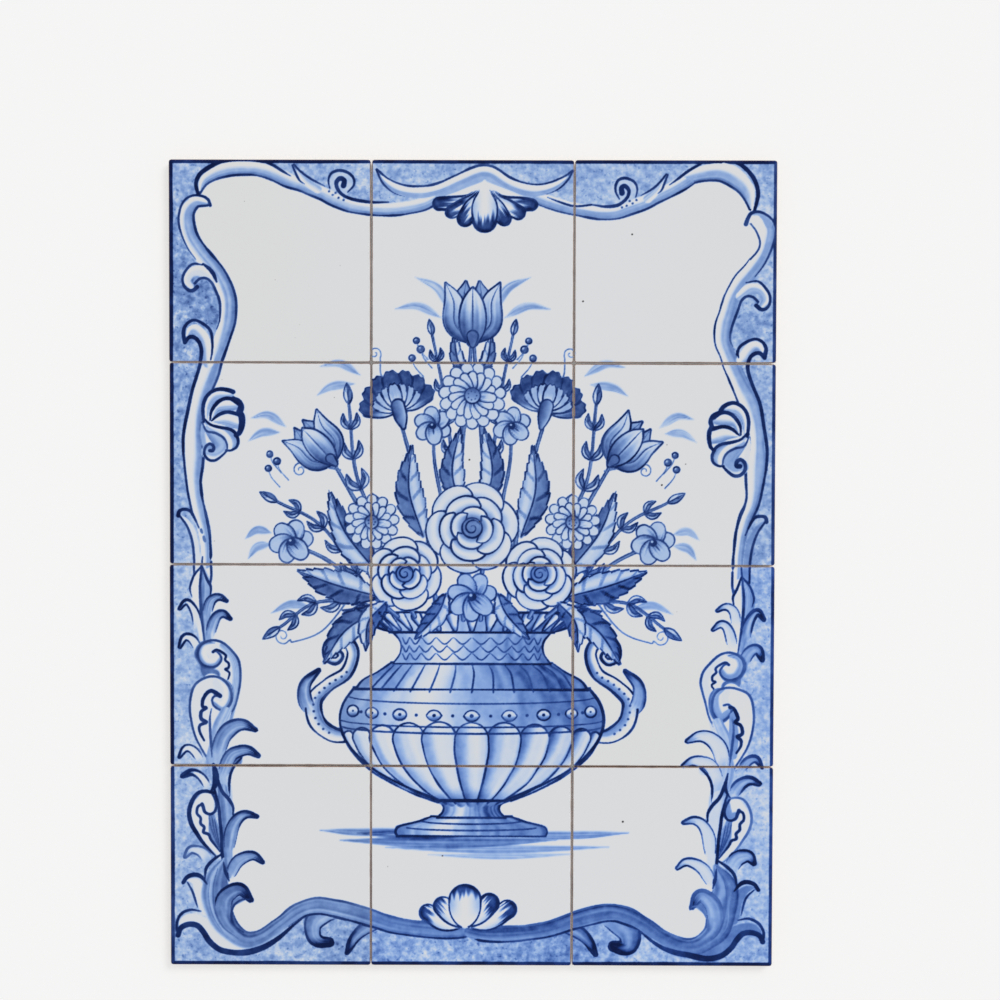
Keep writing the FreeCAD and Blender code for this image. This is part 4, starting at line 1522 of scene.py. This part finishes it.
def dressed_tile(row, column):
    """The painted tile of one row and column, at its place in the panel."""
    middle, turn = places[row, column]
    mesh = blank.copy()
    mesh.name = f"painted_tile_{row}_{column}"
    at = ROWS.index(row) * (CELLS + 1) + cell[:, 1], COLUMNS.index(column) * (CELLS + 1) + cell[:, 0]
    values = {"wash": wash[at], "sponge": sponge[at], "line": line[at], "line_tone": line_tone[at],
              "speck": speck[at], "arris": arris,
              "batch": np.full(len(local), chance.uniform(-0.2, 0.2)),
              "clear": np.full(len(local), float(row in ("lower", "bottom") and column != "left"))}
    for name, value in values.items():
        mesh.attributes.new(name, "FLOAT", "POINT").data.foreach_set("value", value)
    mesh.transform(Matrix.Translation((*middle, 0)) @ Matrix.Rotation(turn, 4, "Z") @ Matrix.Scale(MM, 4))
    mesh.materials.append(glaze)
    mesh.materials.append(clay)
    mesh.set_sharp_from_angle(angle=math.radians(40))
    piece = bpy.data.objects.new(mesh.name, mesh)
    bpy.context.scene.collection.objects.link(piece)
    return piece


for row, column in places:
    piece = dressed_tile(row, column)
    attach(piece, "root")
    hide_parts(f"tile_{row}_{column}")
bpy.data.meshes.remove(blank)
print(f"{len(places)} painted tiles, the last with {len(piece.data.polygons)} faces")

# %% [markdown]
# ## Floor and light
# The panel is shown on a white sweep, lit from all round by a pale sky, with one broad soft light
# from the upper right that leaves a thin shadow along the left and lower edges. Round the panel the
# paper glows a little for the camera, so that the shadow stays faint, and under it, where only the
# open joints show it, it hardly glows at all. Reflections see the same pale background as the camera
# does, so the glaze looks clean and its blue stays true.

# %% Floor, sky and sun
FLOOR_SHADE = (246, 246, 246)
SKY, SEEN_SKY = 0.687, 0.91  # as light, and as the camera and reflections see it
SUN = 1.395
PAPER_GLOW, UNDER_GLOW = 0.6, 0.18  # shares of glow round the panel and under it


def floor_sheet():
    bm = bmesh.new()
    bmesh.ops.create_grid(bm, x_segments=1, y_segments=1, size=6)
    mesh = bpy.data.meshes.new("floor")
    bm.to_mesh(mesh)
    bm.free()
    place, shader, made = new_material("floor_paper")
    darker = [shade - 1 for shade in FLOOR_SHADE]
    tone = place.noise(900, 1).rise(-0.4, 0.4).mix(paint(*FLOOR_SHADE), paint(*darker))
    feed(shader, Base_Color=tone)
    shader.inputs["Roughness"].default_value = 1.0
    shader.inputs["Specular IOR Level"].default_value = 0.0
    glow = place.node("ShaderNodeEmission", {}, {"Color": paint(245, 245, 245), "Strength": 1.0})
    seen = place.node("ShaderNodeLightPath", {}, {}, "Is Camera Ray")
    x, y = (place.node("ShaderNodeSeparateXYZ", {}, {0: place}, axis) for axis in (0, 1))
    beyond = [away.sum("ABSOLUTE", away).rise(half * MM, (half + 2) * MM)
              for away, half in ((x, HALF_WIDE), (y, HALF_TALL))]
    share = seen * (UNDER_GLOW + (PAPER_GLOW - UNDER_GLOW) * beyond[0].sum("MAXIMUM", *beyond))
    mixed = place.node("ShaderNodeMixShader", {},
                       {0: share, 1: Term(place.tree, shader.outputs[0]), 2: glow})
    feed(place.tree.nodes["Material Output"], Surface=mixed)
    mesh.materials.append(made)
    floor = bpy.data.objects.new("floor", mesh)
    bpy.context.scene.collection.objects.link(floor)
    floor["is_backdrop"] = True


def pale_sky():
    world = bpy.data.worlds.new("pale_sky")
    bpy.context.scene.world = world
    world.use_nodes = True
    path = world.node_tree.nodes.new("ShaderNodeLightPath").outputs
    kinds = ("Camera", "Glossy", "Transmission")
    camera, glossy, through_glass = (Term(world.node_tree, path[f"Is {kind} Ray"]) for kind in kinds)
    together = camera + glossy + through_glass
    seen = together.sum("MINIMUM", together, 1.0)
    background = world.node_tree.nodes["Background"]
    background.inputs["Color"].default_value = (1, 1, 1, 1)
    strength = SKY + seen * (SEEN_SKY - SKY)
    world.node_tree.links.new(strength.socket, background.inputs["Strength"])


def sun_lamp():
    lamp = bpy.data.lights.new("window", "SUN")
    lamp.energy = SUN
    lamp.angle = math.radians(25)
    lamp.color = (1.0, 0.99, 0.975)
    sun = bpy.data.objects.new("window", lamp)
    sun.rotation_euler = (math.radians(-32), math.radians(34), 0)
    bpy.context.scene.collection.objects.link(sun)


floor_sheet()
pale_sky()
sun_lamp()
print("floor, sky and one soft light")

# %% [markdown]
# ## The camera
# The camera stands a metre and a half above the panel and looks almost straight down. It is a little
# above the middle and tilted back, so the panel narrows slightly downwards in the picture.

# %% Camera
camera_data = bpy.data.cameras.new("camera")
camera_data.sensor_width = 36
camera_data.lens = 82.4
camera = bpy.data.objects.new("camera", camera_data)
camera.location = (0.0241, 0.1025, 1.6)
camera.rotation_euler = [math.radians(angle) for angle in (-2.051, 0.177, 0.161)]
bpy.context.scene.collection.objects.link(camera)
bpy.context.scene.camera = camera
bpy.context.scene.view_settings.view_transform = "Standard"
print(f"camera {camera.location.z:.1f} m above the panel, lens {camera_data.lens:.1f} mm")

# %% [markdown]
# ## Finish
# The painted tiles stand in for the frame's tiles and keep their size. Both boxes are written out,
# so that they can be compared.

# %% Finish
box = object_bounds()
for name, corners in (("frame", cad_box), ("painted", box)):
    print(name, "size in mm:", [round((high - low) / MM, 2) for low, high in zip(*corners)])
